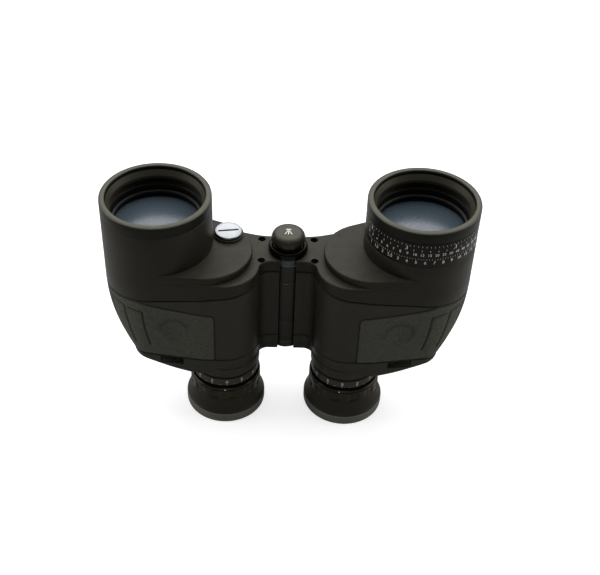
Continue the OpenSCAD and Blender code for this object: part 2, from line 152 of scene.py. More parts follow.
def onPod(z, inset=0.0, cols=None):
    # points of the body wall at heights z (rows, columns), moved in by inset
    z = np.asarray(z, float)
    if cols is None:
        cols = np.arange(tableP.shape[1])
    k = np.clip((z - tableZ[0]) / (tableZ[1] - tableZ[0]), 0, len(tableZ) - 1.001)
    i = k.astype(int)
    f = (k - i)[..., None]
    p = tableP[i, cols] * (1 - f) + tableP[i + 1, cols] * f
    n = tableN[i, cols] * (1 - f) + tableN[i + 1, cols] * f
    p = p - n * np.asarray(inset)[..., None]
    return np.concatenate([p, z[..., None]], -1), n


# ---- making meshes ----

def finishMesh(obj, material, body, nodes=(), sharp=32.0):
    # weld, turn the faces outwards, shade, and hand the piece to its body
    mesh = obj.data
    bm = bmesh.new()
    bm.from_mesh(mesh)
    bmesh.ops.remove_doubles(bm, verts=bm.verts, dist=2e-6)
    bmesh.ops.dissolve_degenerate(bm, edges=bm.edges, dist=1e-6)
    bmesh.ops.recalc_face_normals(bm, faces=bm.faces)
    bm.to_mesh(mesh)
    bm.free()
    for poly in mesh.polygons:
        poly.use_smooth = True
    mesh.set_sharp_from_angle(angle=math.radians(sharp))
    if material is not None:
        mesh.materials.clear()
        mesh.materials.append(material)
    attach(obj, body)
    if nodes:
        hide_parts(*nodes)
    return obj


def meshObject(name, verts, faces, side=1):
    pts = np.asarray(verts, float) * (0.001 * side, 0.001, 0.001)
    mesh = bpy.data.meshes.new(name)
    mesh.from_pydata(pts.tolist(), [], faces)
    mesh.update()
    obj = bpy.data.objects.new(name, mesh)
    bpy.context.collection.objects.link(obj)
    return obj


def softProfile(corners, steps=5):
    # closed outline of (radius, height, corner softness) turned into plain points
    out = []
    n = len(corners)
    for i in range(n):
        r, z, soft = (tuple(corners[i]) + (0,))[:3]
        here = np.array([r, z], float)
        back = np.array(corners[i - 1][:2], float) - here
        ahead = np.array(corners[(i + 1) % n][:2], float) - here
        lb, la = np.linalg.norm(back), np.linalg.norm(ahead)
        cut = min(soft, lb * 0.48, la * 0.48)
        if cut <= 1e-6:
            out.append(here)
            continue
        a, b = here + back / lb * cut, here + ahead / la * cut
        for t in np.linspace(0, 1, steps):
            out.append((1 - t) ** 2 * a + 2 * t * (1 - t) * here + t * t * b)
    return out


def turned(corners, centre, steps=160, wave=None):
    # a closed outline spun round the vertical line through centre
    prof = softProfile(corners)
    verts, faces = [], []
    n = len(prof)
    for k in range(steps):
        a = 2 * math.pi * k / steps
        for r, z in prof:
            rr = r if wave is None else wave(r, z, a)
            verts.append((centre[0] + rr * math.cos(a), centre[1] + rr * math.sin(a), z))
    for k in range(steps):
        for i in range(n):
            j, m = (i + 1) % n, (k + 1) % steps
            if prof[i][0] < 1e-6 and prof[j][0] < 1e-6:
                continue
            faces.append((k * n + i, m * n + i, m * n + j, k * n + j))
    return verts, faces


def joinShapes(*shapes):
    verts, faces = [], []
    for v, f in shapes:
        start = len(verts)
        verts.extend([tuple(p) for p in v])
        faces.extend([tuple(i + start for i in face) for face in f])
    return verts, faces


def loft(loops, capFirst=True, capLast=True):
    # closed loops with equal counts, joined one to the next
    n = len(loops[0])
    verts = [tuple(p) for loop in loops for p in loop]
    faces = []
    for k in range(len(loops) - 1):
        for i in range(n):
            j = (i + 1) % n
            faces.append((k * n + i, k * n + j, (k + 1) * n + j, (k + 1) * n + i))
    if capFirst:
        faces.append(tuple(range(n)))
    if capLast:
        faces.append(tuple((len(loops) - 1) * n + i for i in range(n)))
    return verts, faces


def cutAway(obj, verts, faces, side=1):
    # takes a plain tool shape out of a piece
    tool = meshObject("tool", verts, faces, side)
    bm = bmesh.new()
    bm.from_mesh(tool.data)
    bmesh.ops.recalc_face_normals(bm, faces=bm.faces)
    bm.to_mesh(tool.data)
    bm.free()
    bm = bmesh.new()
    bm.from_mesh(obj.data)
    bmesh.ops.remove_doubles(bm, verts=bm.verts, dist=2e-6)
    bmesh.ops.recalc_face_normals(bm, faces=bm.faces)
    bm.to_mesh(obj.data)
    bm.free()
    mod = obj.modifiers.new("cut", "BOOLEAN")
    mod.operation = "DIFFERENCE"
    mod.solver = "EXACT"
    mod.object = tool
    deps = bpy.context.evaluated_depsgraph_get()
    done = bpy.data.meshes.new_from_object(obj.evaluated_get(deps))
    obj.modifiers.clear()
    obj.data = done
    bpy.data.objects.remove(tool)


def boxShape(lo, hi):
    x, y, z = zip(lo, hi)
    v = [(x[i], y[j], z[k]) for i in (0, 1) for j in (0, 1) for k in (0, 1)]
    f = [(0, 1, 3, 2), (4, 6, 7, 5), (0, 4, 5, 1), (2, 3, 7, 6), (0, 2, 6, 4), (1, 5, 7, 3)]
    return v, f


def glyph(text, size, depth):
    # a figure as a thin plate, centred on the origin in x and y
    curve = bpy.data.curves.new("glyph", "FONT")
    curve.body = text
    curve.size = size
    curve.align_x = "CENTER"
    curve.align_y = "CENTER"
    curve.extrude = depth / 2
    curve.resolution_u = 3
    curve.fill_mode = "BOTH"
    obj = bpy.data.objects.new("glyph", curve)
    bpy.context.collection.objects.link(obj)
    bpy.context.view_layer.update()
    deps = bpy.context.evaluated_depsgraph_get()
    mesh = bpy.data.meshes.new_from_object(obj.evaluated_get(deps))
    v = [tuple(p.co) for p in mesh.vertices]
    f = [tuple(p.vertices) for p in mesh.polygons]
    bpy.data.objects.remove(obj)
    bpy.data.curves.remove(curve)
    bpy.data.meshes.remove(mesh)
    mid = (min(p[1] for p in v) + max(p[1] for p in v)) / 2
    return [(p[0], p[1] - mid, p[2]) for p in v], f


def wrapRound(shape, centre, radius, angle, height):
    # bends a flat figure round a cylinder, so that it reads from outside
    v, f = shape
    out = []
    for x, y, z in v:
        a = angle + x / radius
        r = radius + z
        out.append((centre[0] + r * math.cos(a), centre[1] + r * math.sin(a), height + y))
    return out, f


# ---- Geometry Nodes for what repeats ----

def newTree(name, sockets):
    tree = bpy.data.node_groups.new(name, "GeometryNodeTree")
    tree.interface.new_socket("Geometry", in_out="OUTPUT", socket_type="NodeSocketGeometry")
    for label, kind in sockets:
        tree.interface.new_socket(label, in_out="INPUT", socket_type=kind)
    return tree, tree.nodes.new("NodeGroupInput"), tree.nodes.new("NodeGroupOutput")


def mathNode(nodes, links, kind, a, b=None):
    node = nodes.new("ShaderNodeMath")
    node.operation = kind
    for k, v in enumerate((a, b)):
        if v is None:
            continue
        if isinstance(v, (int, float)):
            node.inputs[k].default_value = v
        else:
            links.new(v, node.inputs[k])
    return node.outputs[0]


def marksTree():
    # small raised bars, evenly spaced round a ring
    tree, gin, gout = newTree("marksRound", [
        ("Count", "NodeSocketInt"), ("Start", "NodeSocketFloat"), ("Step", "NodeSocketFloat"),
        ("Centre", "NodeSocketVector"), ("Radius", "NodeSocketFloat"), ("Size", "NodeSocketVector"),
        ("Finish", "NodeSocketMaterial")])
    n, l = tree.nodes, tree.links
    line = n.new("GeometryNodeMeshLine")
    l.new(gin.outputs["Count"], line.inputs["Count"])
    index = n.new("GeometryNodeInputIndex")
    turn = mathNode(n, l, "ADD", gin.outputs["Start"],
                    mathNode(n, l, "MULTIPLY", index.outputs[0], gin.outputs["Step"]))
    spot = n.new("ShaderNodeCombineXYZ")
    l.new(mathNode(n, l, "MULTIPLY", mathNode(n, l, "COSINE", turn), gin.outputs["Radius"]), spot.inputs[0])
    l.new(mathNode(n, l, "MULTIPLY", mathNode(n, l, "SINE", turn), gin.outputs["Radius"]), spot.inputs[1])
    add = n.new("ShaderNodeVectorMath")
    l.new(spot.outputs[0], add.inputs[0])
    l.new(gin.outputs["Centre"], add.inputs[1])
    put = n.new("GeometryNodeSetPosition")
    l.new(line.outputs[0], put.inputs["Geometry"])
    l.new(add.outputs[0], put.inputs["Position"])
    bar = n.new("GeometryNodeMeshCube")
    l.new(gin.outputs["Size"], bar.inputs["Size"])
    turnTo = n.new("ShaderNodeCombineXYZ")
    l.new(turn, turnTo.inputs[2])
    inst = n.new("GeometryNodeInstanceOnPoints")
    l.new(put.outputs[0], inst.inputs["Points"])
    l.new(bar.outputs[0], inst.inputs["Instance"])
    l.new(turnTo.outputs[0], inst.inputs["Rotation"])
    real = n.new("GeometryNodeRealizeInstances")
    l.new(inst.outputs[0], real.inputs[0])
    paint = n.new("GeometryNodeSetMaterial")
    l.new(real.outputs[0], paint.inputs["Geometry"])
    l.new(gin.outputs["Finish"], paint.inputs["Material"])
    l.new(paint.outputs[0], gout.inputs[0])
    return tree


def placedTree():
    # a copy of one part at each point of a mesh
    tree, gin, gout = newTree("placedParts", [
        ("Points", "NodeSocketGeometry"), ("Part", "NodeSocketObject"), ("Turn", "NodeSocketFloat"),
        ("Finish", "NodeSocketMaterial")])
    n, l = tree.nodes, tree.links
    info = n.new("GeometryNodeObjectInfo")
    l.new(gin.outputs["Part"], info.inputs["Object"])
    index = n.new("GeometryNodeInputIndex")
    turnTo = n.new("ShaderNodeCombineXYZ")
    l.new(mathNode(n, l, "MULTIPLY", index.outputs[0], gin.outputs["Turn"]), turnTo.inputs[2])
    inst = n.new("GeometryNodeInstanceOnPoints")
    l.new(gin.outputs["Points"], inst.inputs["Points"])
    l.new(info.outputs["Geometry"], inst.inputs["Instance"])
    l.new(turnTo.outputs[0], inst.inputs["Rotation"])
    real = n.new("GeometryNodeRealizeInstances")
    l.new(inst.outputs[0], real.inputs[0])
    paint = n.new("GeometryNodeSetMaterial")
    l.new(real.outputs[0], paint.inputs["Geometry"])
    l.new(gin.outputs["Finish"], paint.inputs["Material"])
    l.new(paint.outputs[0], gout.inputs[0])
    return tree


def bakeTree(name, tree, values, points=None):
    # runs a tree and keeps its result as a plain mesh
    mesh = bpy.data.meshes.new(name)
    mesh.from_pydata(points or [(0, 0, 0)], [], [])
    obj = bpy.data.objects.new(name, mesh)
    bpy.context.collection.objects.link(obj)
    mod = obj.modifiers.new("nodes", "NODES")
    mod.node_group = tree
    for item in tree.interface.items_tree:
        if item.in_out == "INPUT" and item.name in values:
            mod[item.identifier] = values[item.name]
    deps = bpy.context.evaluated_depsgraph_get()
    done = bpy.data.meshes.new_from_object(obj.evaluated_get(deps))
    obj.modifiers.clear()
    obj.data = done
    return obj


# ---- shader node groups ----

def shaderGroup(name, ins, outs):
    group = bpy.data.node_groups.new(name, "ShaderNodeTree")
    for label, kind in ins:
        group.interface.new_socket(label, in_out="INPUT", socket_type=kind)
    for label, kind in outs:
        group.interface.new_socket(label, in_out="OUTPUT", socket_type=kind)
    return group, group.nodes.new("NodeGroupInput"), group.nodes.new("NodeGroupOutput")


def grainGroup():
    # fine moulded grain with slow cloudy change: a height for bump and a mask for colour
    g, gin, gout = shaderGroup("mouldGrain", [
        ("Grain Scale", "NodeSocketFloat"), ("Cloud Scale", "NodeSocketFloat")],
        [("Height", "NodeSocketFloat"), ("Cloud", "NodeSocketFloat"), ("Speck", "NodeSocketFloat")])
    n, l = g.nodes, g.links
    tex = n.new("ShaderNodeTexCoord")
    fine = n.new("ShaderNodeTexNoise")
    fine.inputs["Detail"].default_value = 3
    fine.inputs["Roughness"].default_value = 0.65
    l.new(tex.outputs["Object"], fine.inputs["Vector"])
    l.new(gin.outputs["Grain Scale"], fine.inputs["Scale"])
    cloud = n.new("ShaderNodeTexNoise")
    cloud.inputs["Detail"].default_value = 4
    l.new(tex.outputs["Object"], cloud.inputs["Vector"])
    l.new(gin.outputs["Cloud Scale"], cloud.inputs["Scale"])
    speck = n.new("ShaderNodeTexNoise")
    speck.inputs["Detail"].default_value = 2
    speck.inputs["Scale"].default_value = 950
    l.new(tex.outputs["Object"], speck.inputs["Vector"])
    cut = n.new("ShaderNodeMapRange")
    cut.inputs["From Min"].default_value = 0.64
    cut.inputs["From Max"].default_value = 0.74
    l.new(speck.outputs["Fac"], cut.inputs["Value"])
    l.new(fine.outputs["Fac"], gout.inputs["Height"])
    l.new(cloud.outputs["Fac"], gout.inputs["Cloud"])
    l.new(cut.outputs["Result"], gout.inputs["Speck"])
    return g


def dustGroup():
    # settled dust: thicker where a surface faces up, broken up by noise
    g, gin, gout = shaderGroup("settledDust", [("Amount", "NodeSocketFloat")],
                               [("Dust", "NodeSocketFloat")])
    n, l = g.nodes, g.links
    geo = n.new("ShaderNodeNewGeometry")
    split = n.new("ShaderNodeSeparateXYZ")
    l.new(geo.outputs["Normal"], split.inputs[0])
    tex = n.new("ShaderNodeTexCoord")
    noise = n.new("ShaderNodeTexNoise")
    noise.inputs["Scale"].default_value = 160
    noise.inputs["Detail"].default_value = 6
    l.new(tex.outputs["Object"], noise.inputs["Vector"])
    up = mathNode(n, l, "MAXIMUM", split.outputs[2], 0.0)
    l.new(mathNode(n, l, "MULTIPLY", mathNode(n, l, "MULTIPLY", up, noise.outputs["Fac"]),
                   gin.outputs["Amount"]), gout.inputs["Dust"])
    return g


def wearGroup():
    # bright rubbed edges, read from how sharply the surface bends
    g, gin, gout = shaderGroup("rubbedEdges", [("Radius", "NodeSocketFloat"), ("Gain", "NodeSocketFloat")],
                               [("Wear", "NodeSocketFloat")])
    n, l = g.nodes, g.links
    bev = n.new("ShaderNodeBevel")
    bev.samples = 4
    l.new(gin.outputs["Radius"], bev.inputs["Radius"])
    geo = n.new("ShaderNodeNewGeometry")
    dot = n.new("ShaderNodeVectorMath")
    dot.operation = "DOT_PRODUCT"
    l.new(bev.outputs[0], dot.inputs[0])
    l.new(geo.outputs["Normal"], dot.inputs[1])
    tex = n.new("ShaderNodeTexCoord")
    noise = n.new("ShaderNodeTexNoise")
    noise.inputs["Scale"].default_value = 220
    noise.inputs["Detail"].default_value = 5
    l.new(tex.outputs["Object"], noise.inputs["Vector"])
    bend = mathNode(n, l, "SUBTRACT", 1.0, dot.outputs["Value"])
    raw = mathNode(n, l, "MULTIPLY", mathNode(n, l, "MULTIPLY", bend, noise.outputs["Fac"]), gin.outputs["Gain"])
    l.new(mathNode(n, l, "MINIMUM", raw, 1.0), gout.inputs["Wear"])
    return g


grain = grainGroup()
dust = dustGroup()
rubbed = wearGroup()


def linear(rgb):
    # screen values 0-255 to the linear ones that a shader takes
    out = []
    for v in rgb:
        c = v / 255
        out.append(c / 12.92 if c <= 0.04045 else ((c + 0.055) / 1.055) ** 2.4)
    return tuple(out) + (1.0,)


def moulded(name, look):
    # rubber or plastic: two close tones, painted shade where a piece asks for it, grain bump, dust on top, rubbed
    # edges
    mat = bpy.data.materials.new(name)
    mat.use_nodes = True
    n, l = mat.node_tree.nodes, mat.node_tree.links
    bsdf = n["Principled BSDF"]
    g = n.new("ShaderNodeGroup")
    g.node_tree = grain
    g.inputs["Grain Scale"].default_value = look.get("grain", 2600)
    g.inputs["Cloud Scale"].default_value = look.get("cloud", 45)
    d = n.new("ShaderNodeGroup")
    d.node_tree = dust
    d.inputs["Amount"].default_value = look.get("dust", 0.15)
    tone = n.new("ShaderNodeMix")
    tone.data_type = "RGBA"
    l.new(g.outputs[look.get("toneFrom", "Cloud")], tone.inputs["Factor"])
    tone.inputs["A"].default_value = linear(look["dark"])
    tone.inputs["B"].default_value = linear(look["light"])
    last = tone.outputs["Result"]
    # painted shade: a point attribute darkens the colour toward near black, scaled by the finish's own strength
    # value
    if look.get("paintedShade", 0):
        shadeAttribute = n.new("ShaderNodeAttribute")
        shadeAttribute.attribute_name = "paintedShade"
        shade = n.new("ShaderNodeMix")
        shade.data_type = "RGBA"
        l.new(mathNode(n, l, "MULTIPLY", shadeAttribute.outputs["Fac"], look["paintedShade"]), shade.inputs["Factor"])
        l.new(last, shade.inputs["A"])
        shade.inputs["B"].default_value = (0.002, 0.002, 0.002, 1)
        last = shade.outputs["Result"]
    if look.get("wear", 0):
        w = n.new("ShaderNodeGroup")
        w.node_tree = rubbed
        w.inputs["Radius"].default_value = 0.0006
        w.inputs["Gain"].default_value = look["wear"]
        worn = n.new("ShaderNodeMix")
        worn.data_type = "RGBA"
        l.new(w.outputs["Wear"], worn.inputs["Factor"])
        l.new(last, worn.inputs["A"])
        worn.inputs["B"].default_value = linear(look.get("worn", (96, 94, 88)))
        last = worn.outputs["Result"]
    dusty = n.new("ShaderNodeMix")
    dusty.data_type = "RGBA"
    l.new(d.outputs["Dust"], dusty.inputs["Factor"])
    l.new(last, dusty.inputs["A"])
    dusty.inputs["B"].default_value = linear((168, 165, 150))
    l.new(dusty.outputs["Result"], bsdf.inputs["Base Color"])
    rough = n.new("ShaderNodeMapRange")
    l.new(g.outputs["Height"], rough.inputs["Value"])
    rough.inputs["To Min"].default_value = look["rough"] - 0.07
    rough.inputs["To Max"].default_value = look["rough"] + 0.07
    l.new(rough.outputs["Result"], bsdf.inputs["Roughness"])
    bump = n.new("ShaderNodeBump")
    bump.inputs["Strength"].default_value = look.get("bump", 0.35)
    bump.inputs["Distance"].default_value = look.get("bumpDepth", 0.00006)
    l.new(g.outputs["Height"], bump.inputs["Height"])
    l.new(bump.outputs["Normal"], bsdf.inputs["Normal"])
    bsdf.inputs["Specular IOR Level"].default_value = look.get("shine", 0.35)
    bsdf.inputs["Specular Tint"].default_value = (1.0, 0.96, 0.8, 1)
    bsdf.inputs["Metallic"].default_value = look.get("metal", 0.0)
    return mat


def metal(name, look):
    # machined or brushed metal with fine turning lines and slight stains
    mat = bpy.data.materials.new(name)
    mat.use_nodes = True
    n, l = mat.node_tree.nodes, mat.node_tree.links
    bsdf = n["Principled BSDF"]
    tex = n.new("ShaderNodeTexCoord")
    stretch = n.new("ShaderNodeMapping")
    stretch.inputs["Scale"].default_value = (1, 1, 12)
    l.new(tex.outputs["Object"], stretch.inputs["Vector"])
    lines = n.new("ShaderNodeTexNoise")
    lines.inputs["Scale"].default_value = look.get("grain", 900)
    lines.inputs["Detail"].default_value = 3
    l.new(stretch.outputs["Vector"], lines.inputs["Vector"])
    g = n.new("ShaderNodeGroup")
    g.node_tree = grain
    g.inputs["Grain Scale"].default_value = 1800
    g.inputs["Cloud Scale"].default_value = look.get("cloud", 120)
    tone = n.new("ShaderNodeMix")
    tone.data_type = "RGBA"
    l.new(g.outputs["Cloud"], tone.inputs["Factor"])
    tone.inputs["A"].default_value = linear(look["dark"])
    tone.inputs["B"].default_value = linear(look["light"])
    l.new(tone.outputs["Result"], bsdf.inputs["Base Color"])
    rough = n.new("ShaderNodeMapRange")
    l.new(lines.outputs["Fac"], rough.inputs["Value"])
    rough.inputs["To Min"].default_value = max(look["rough"] - 0.06, 0.02)
    rough.inputs["To Max"].default_value = look["rough"] + 0.08
    l.new(rough.outputs["Result"], bsdf.inputs["Roughness"])
    bump = n.new("ShaderNodeBump")
    bump.inputs["Strength"].default_value = 0.2
    bump.inputs["Distance"].default_value = 0.00002
    l.new(lines.outputs["Fac"], bump.inputs["Height"])
    l.new(bump.outputs["Normal"], bsdf.inputs["Normal"])
    bsdf.inputs["Metallic"].default_value = look.get("metal", 1.0)
    return mat


def glass(name, look):
    # coated optical glass with faint smears
    mat = bpy.data.materials.new(name)
    mat.use_nodes = True
    n, l = mat.node_tree.nodes, mat.node_tree.links
    bsdf = n["Principled BSDF"]
    g = n.new("ShaderNodeGroup")
    g.node_tree = grain
    g.inputs["Grain Scale"].default_value = 700
    g.inputs["Cloud Scale"].default_value = 38
    tone = n.new("ShaderNodeMix")
    tone.data_type = "RGBA"
    l.new(g.outputs["Cloud"], tone.inputs["Factor"])
    tone.inputs["A"].default_value = linear(look["dark"])
    tone.inputs["B"].default_value = linear(look["light"])
    l.new(tone.outputs["Result"], bsdf.inputs["Base Color"])
    rough = n.new("ShaderNodeMapRange")
    l.new(g.outputs["Cloud"], rough.inputs["Value"])
    rough.inputs["To Min"].default_value = look.get("roughLow", 0.01)
    rough.inputs["To Max"].default_value = look.get("roughHigh", 0.06)
    l.new(rough.outputs["Result"], bsdf.inputs["Roughness"])
    bsdf.inputs["Transmission Weight"].default_value = look.get("clear", 0.8)
    bsdf.inputs["IOR"].default_value = 1.5
    bsdf.inputs["Coat Weight"].default_value = look.get("coat", 0.0)
    bsdf.inputs["Coat Roughness"].default_value = look.get("coatRough", 0.03)
    bsdf.inputs["Coat Tint"].default_value = linear(look.get("tint", (200, 215, 255)))
    return mat


print("tools and shader groups ready")


# ---- finishes ----

coverRubber = moulded("coverRubber", {"dark": (30, 27, 22), "light": (37, 34, 28), "rough": 0.46, "grain": 2200,
                                      "dust": 0.06, "shine": 0.14, "wear": 4.0, "worn": (78, 76, 66)})
# the armour and pad finishes below take painted shade in their grooves from a point attribute
armourRubber = moulded("armourRubber", {"dark": (37, 35, 30), "light": (44, 42, 36), "rough": 0.5, "grain": 2400,
                                        "dust": 0.05, "shine": 0.18, "wear": 2.0, "worn": (72, 71, 64),
                                        "paintedShade": 0.9})
padRubber = moulded("padRubber", {"dark": (44, 44, 39), "light": (86, 86, 78), "rough": 0.7, "grain": 620,
                                  "toneFrom": "Height",
                                  "bump": 1.0, "bumpDepth": 0.0006, "dust": 0.06, "shine": 0.16, "paintedShade": 0.92})
rearRubber = moulded("rearRubber", {"dark": (32, 31, 26), "light": (41, 40, 34), "rough": 0.46, "grain": 2200,
                                    "dust": 0.05, "shine": 0.2, "wear": 2.0, "worn": (80, 78, 70)})
castPaint = moulded("castPaint", {"dark": (6, 6, 6), "light": (10, 10, 10), "rough": 0.6, "grain": 1800,
                                  "dust": 0.02, "shine": 0.12})
knucklePaint = moulded("knucklePaint", {"dark": (16, 16, 15), "light": (24, 24, 22), "rough": 0.4, "grain": 1600,
                                        "dust": 0.05, "shine": 0.25, "wear": 1.5, "worn": (90, 92, 90)})
knuckleAlloy = moulded("knuckleAlloy", {"dark": (50, 54, 57), "light": (64, 69, 72), "rough": 0.38, "grain": 1500,
                                        "dust": 0.05, "shine": 0.35, "metal": 0.3})
# painted light: the rim rubber comes in two copies. The darker one for the sides stands in for shade, and the
# lighter one for the lip top stands in for the top light. Its bright rubbed edge is a painted highlight.
rimShadedRubber = moulded("rimShadedRubber", {"dark": (13, 13, 11), "light": (20, 20, 17), "rough": 0.44, "grain": 2400,
                                  "dust": 0.04, "shine": 0.12})
rimLitLip = moulded("rimLitLip", {"dark": (34, 35, 28), "light": (44, 45, 37), "rough": 0.4, "grain": 2400,
                            "dust": 0.05, "shine": 0.35, "wear": 4.0, "worn": (118, 120, 106)})
bevelPaint = moulded("bevelPaint", {"dark": (34, 32, 23), "light": (46, 43, 32), "rough": 0.5, "grain": 2600,
                                    "dust": 0.06, "shine": 0.22})
cellBlack = moulded("cellBlack", {"dark": (3, 3, 3), "light": (6, 6, 6), "rough": 0.5, "grain": 2000,
                                  "dust": 0.0, "shine": 0.12})
cellBand = moulded("cellBand", {"dark": (14, 14, 14), "light": (20, 20, 20), "rough": 0.35, "grain": 2000,
                                "dust": 0.0, "shine": 0.3})
scalePaint = moulded("scalePaint", {"dark": (196, 196, 188), "light": (224, 224, 216), "rough": 0.6,
                                    "dust": 0.0, "bump": 0.1})
dialPlastic = moulded("dialPlastic", {"dark": (15, 14, 12), "light": (21, 20, 17), "rough": 0.42, "grain": 2600,
                                      "dust": 0.03, "shine": 0.12, "wear": 2.5, "worn": (80, 78, 70)})
dioptrePlastic = moulded("dioptrePlastic", {"dark": (34, 33, 29), "light": (44, 43, 38), "rough": 0.45,
                                            "dust": 0.03, "shine": 0.3})
focusPlastic = moulded("focusPlastic", {"dark": (34, 30, 23), "light": (46, 40, 31), "rough": 0.26, "grain": 2600,
                                        "bump": 0.06, "dust": 0.0, "shine": 0.35, "metal": 0.6})
cupRubber = moulded("cupRubber", {"dark": (26, 25, 22), "light": (35, 34, 30), "rough": 0.5, "grain": 2800,
                                  "dust": 0.04, "shine": 0.2, "wear": 3.0, "worn": (92, 90, 84)})
socketBlack = moulded("socketBlack", {"dark": (4, 4, 4), "light": (7, 7, 7), "rough": 0.22, "grain": 900,
                                      "bump": 0.1, "dust": 0.0, "shine": 0.08})
tripodPlastic = moulded("tripodPlastic", {"dark": (28, 26, 20), "light": (38, 35, 27), "rough": 0.4,
                                          "grain": 2000, "dust": 0.08, "shine": 0.3, "wear": 2.0,
                                          "worn": (96, 92, 76)})
tripodSide = moulded("tripodSide", {"dark": (20, 18, 14), "light": (28, 26, 20), "rough": 0.36, "grain": 2000,
                                    "dust": 0.04, "shine": 0.3})
sealRubber = moulded("sealRubber", {"dark": (6, 6, 6), "light": (10, 10, 10), "rough": 0.6, "dust": 0.0})
bezelPlastic = moulded("bezelPlastic", {"dark": (14, 14, 14), "light": (22, 22, 22), "rough": 0.3, "shine": 0.4,
                                        "dust": 0.04})
capsuleWhite = moulded("capsuleWhite", {"dark": (196, 192, 176), "light": (214, 210, 194), "rough": 0.5,
                                        "dust": 0.0})
buttonRed = moulded("buttonRed", {"dark": (110, 16, 14), "light": (138, 24, 20), "rough": 0.5, "dust": 0.05})
washerNylon = moulded("washerNylon", {"dark": (205, 203, 192), "light": (222, 220, 210), "rough": 0.5})
capChrome = metal("capChrome", {"dark": (128, 130, 134), "light": (156, 158, 161), "rough": 0.3})
steel = metal("steel", {"dark": (120, 122, 124), "light": (150, 152, 154), "rough": 0.3})
darkSteel = metal("darkSteel", {"dark": (12, 12, 12), "light": (20, 20, 20), "rough": 0.35})
alloy = metal("alloy", {"dark": (130, 131, 132), "light": (158, 159, 160), "rough": 0.35})
brass = metal("brass", {"dark": (170, 138, 70), "light": (196, 162, 88), "rough": 0.25})
tubeBlack = metal("tubeBlack", {"dark": (16, 16, 16), "light": (26, 26, 26), "rough": 0.4})
# painted reflection: a lighter copy of the cup rubber for the flange band, standing in for light reflected there
cupFlangeReflection = moulded("cupFlangeReflection", {"dark": (92, 90, 84), "light": (108, 106, 100), "rough": 0.5, "grain": 2800,
                              "dust": 0.04, "shine": 0.2})
coatedLens = glass("coatedLens", {"dark": (78, 92, 102), "light": (100, 114, 124), "clear": 0.5, "coat": 0.12,
                                  "coatRough": 0.2,
                                  "roughLow": 0.24, "roughHigh": 0.27,
                                  "tint": (205, 220, 245)})
prismGlass = glass("prismGlass", {"dark": (232, 236, 240), "light": (242, 246, 250), "clear": 0.9})
frostedWindow = glass("frostedWindow", {"dark": (224, 222, 210), "light": (240, 238, 228), "clear": 0.6,
                                        "roughLow": 0.3, "roughHigh": 0.45})

sides = {"left": -1, "right": 1}
hinge = (0.0, bodyShape["hingeY"])
eyeAt = (36.4, -10.5)
barrelAt = (74.6, 3.1)
columns = tableP.shape[1]
columnX = tableP[60, :, 0]
columnSeam = seamHigh(columnX)


def sideBody(side, moving=None):
    return side + "_" + (moving or "barrel")


# ---- armour and grip pad ----

armourShape = {
    "rows": 84,
    "upperRows": 26,
    "padEdge": 41.2,
    "padCorner": 2.6,
    "grooveDepth": 0.6,
    "grooveWidth": 0.4,
    "dimple": (65.0, 70.0, 8.2, 1.6),   # x, z, radius, depth
    "lip": 0.6,
    "wall": 1.6,
    "padWall": 0.95,
    "columnWidth": 0.37,    # roughly, on the outer side
}


def padTop(x):
    x = np.abs(x)
    line = np.interp(x, [40, 43.8, 52.5, 63, 69, 77, 85.5, 88], [83.2, 83.7, 84.7, 86.2, 87.1, 88.5, 90.4, 91.0])
    return np.minimum(line, seamHigh(x) - 0.75)


def edgeDrop(d, r):
    # how far a rounded lip falls back at distance d from its edge
    t = np.clip(1 - d / r, 0, 1)
    return r * (1 - np.sqrt(1 - t * t * 0.98))


def softStep(x, a, b):
    t = np.clip((x - a) / (b - a), 0, 1)
    return t * t * (3 - 2 * t)


ribLines = [          # grooves pressed into the outer side of the pad: runs of (column, height)
    [(245, 83.3), (225, 82.6), (224, 57.5)], [(269, 84.0), (252, 83.8), (248, 57.5)],
    [(295, 84.4), (279, 84.0), (275, 57.5)], [(321, 84.4), (306, 84.0), (302, 57.5)],
]


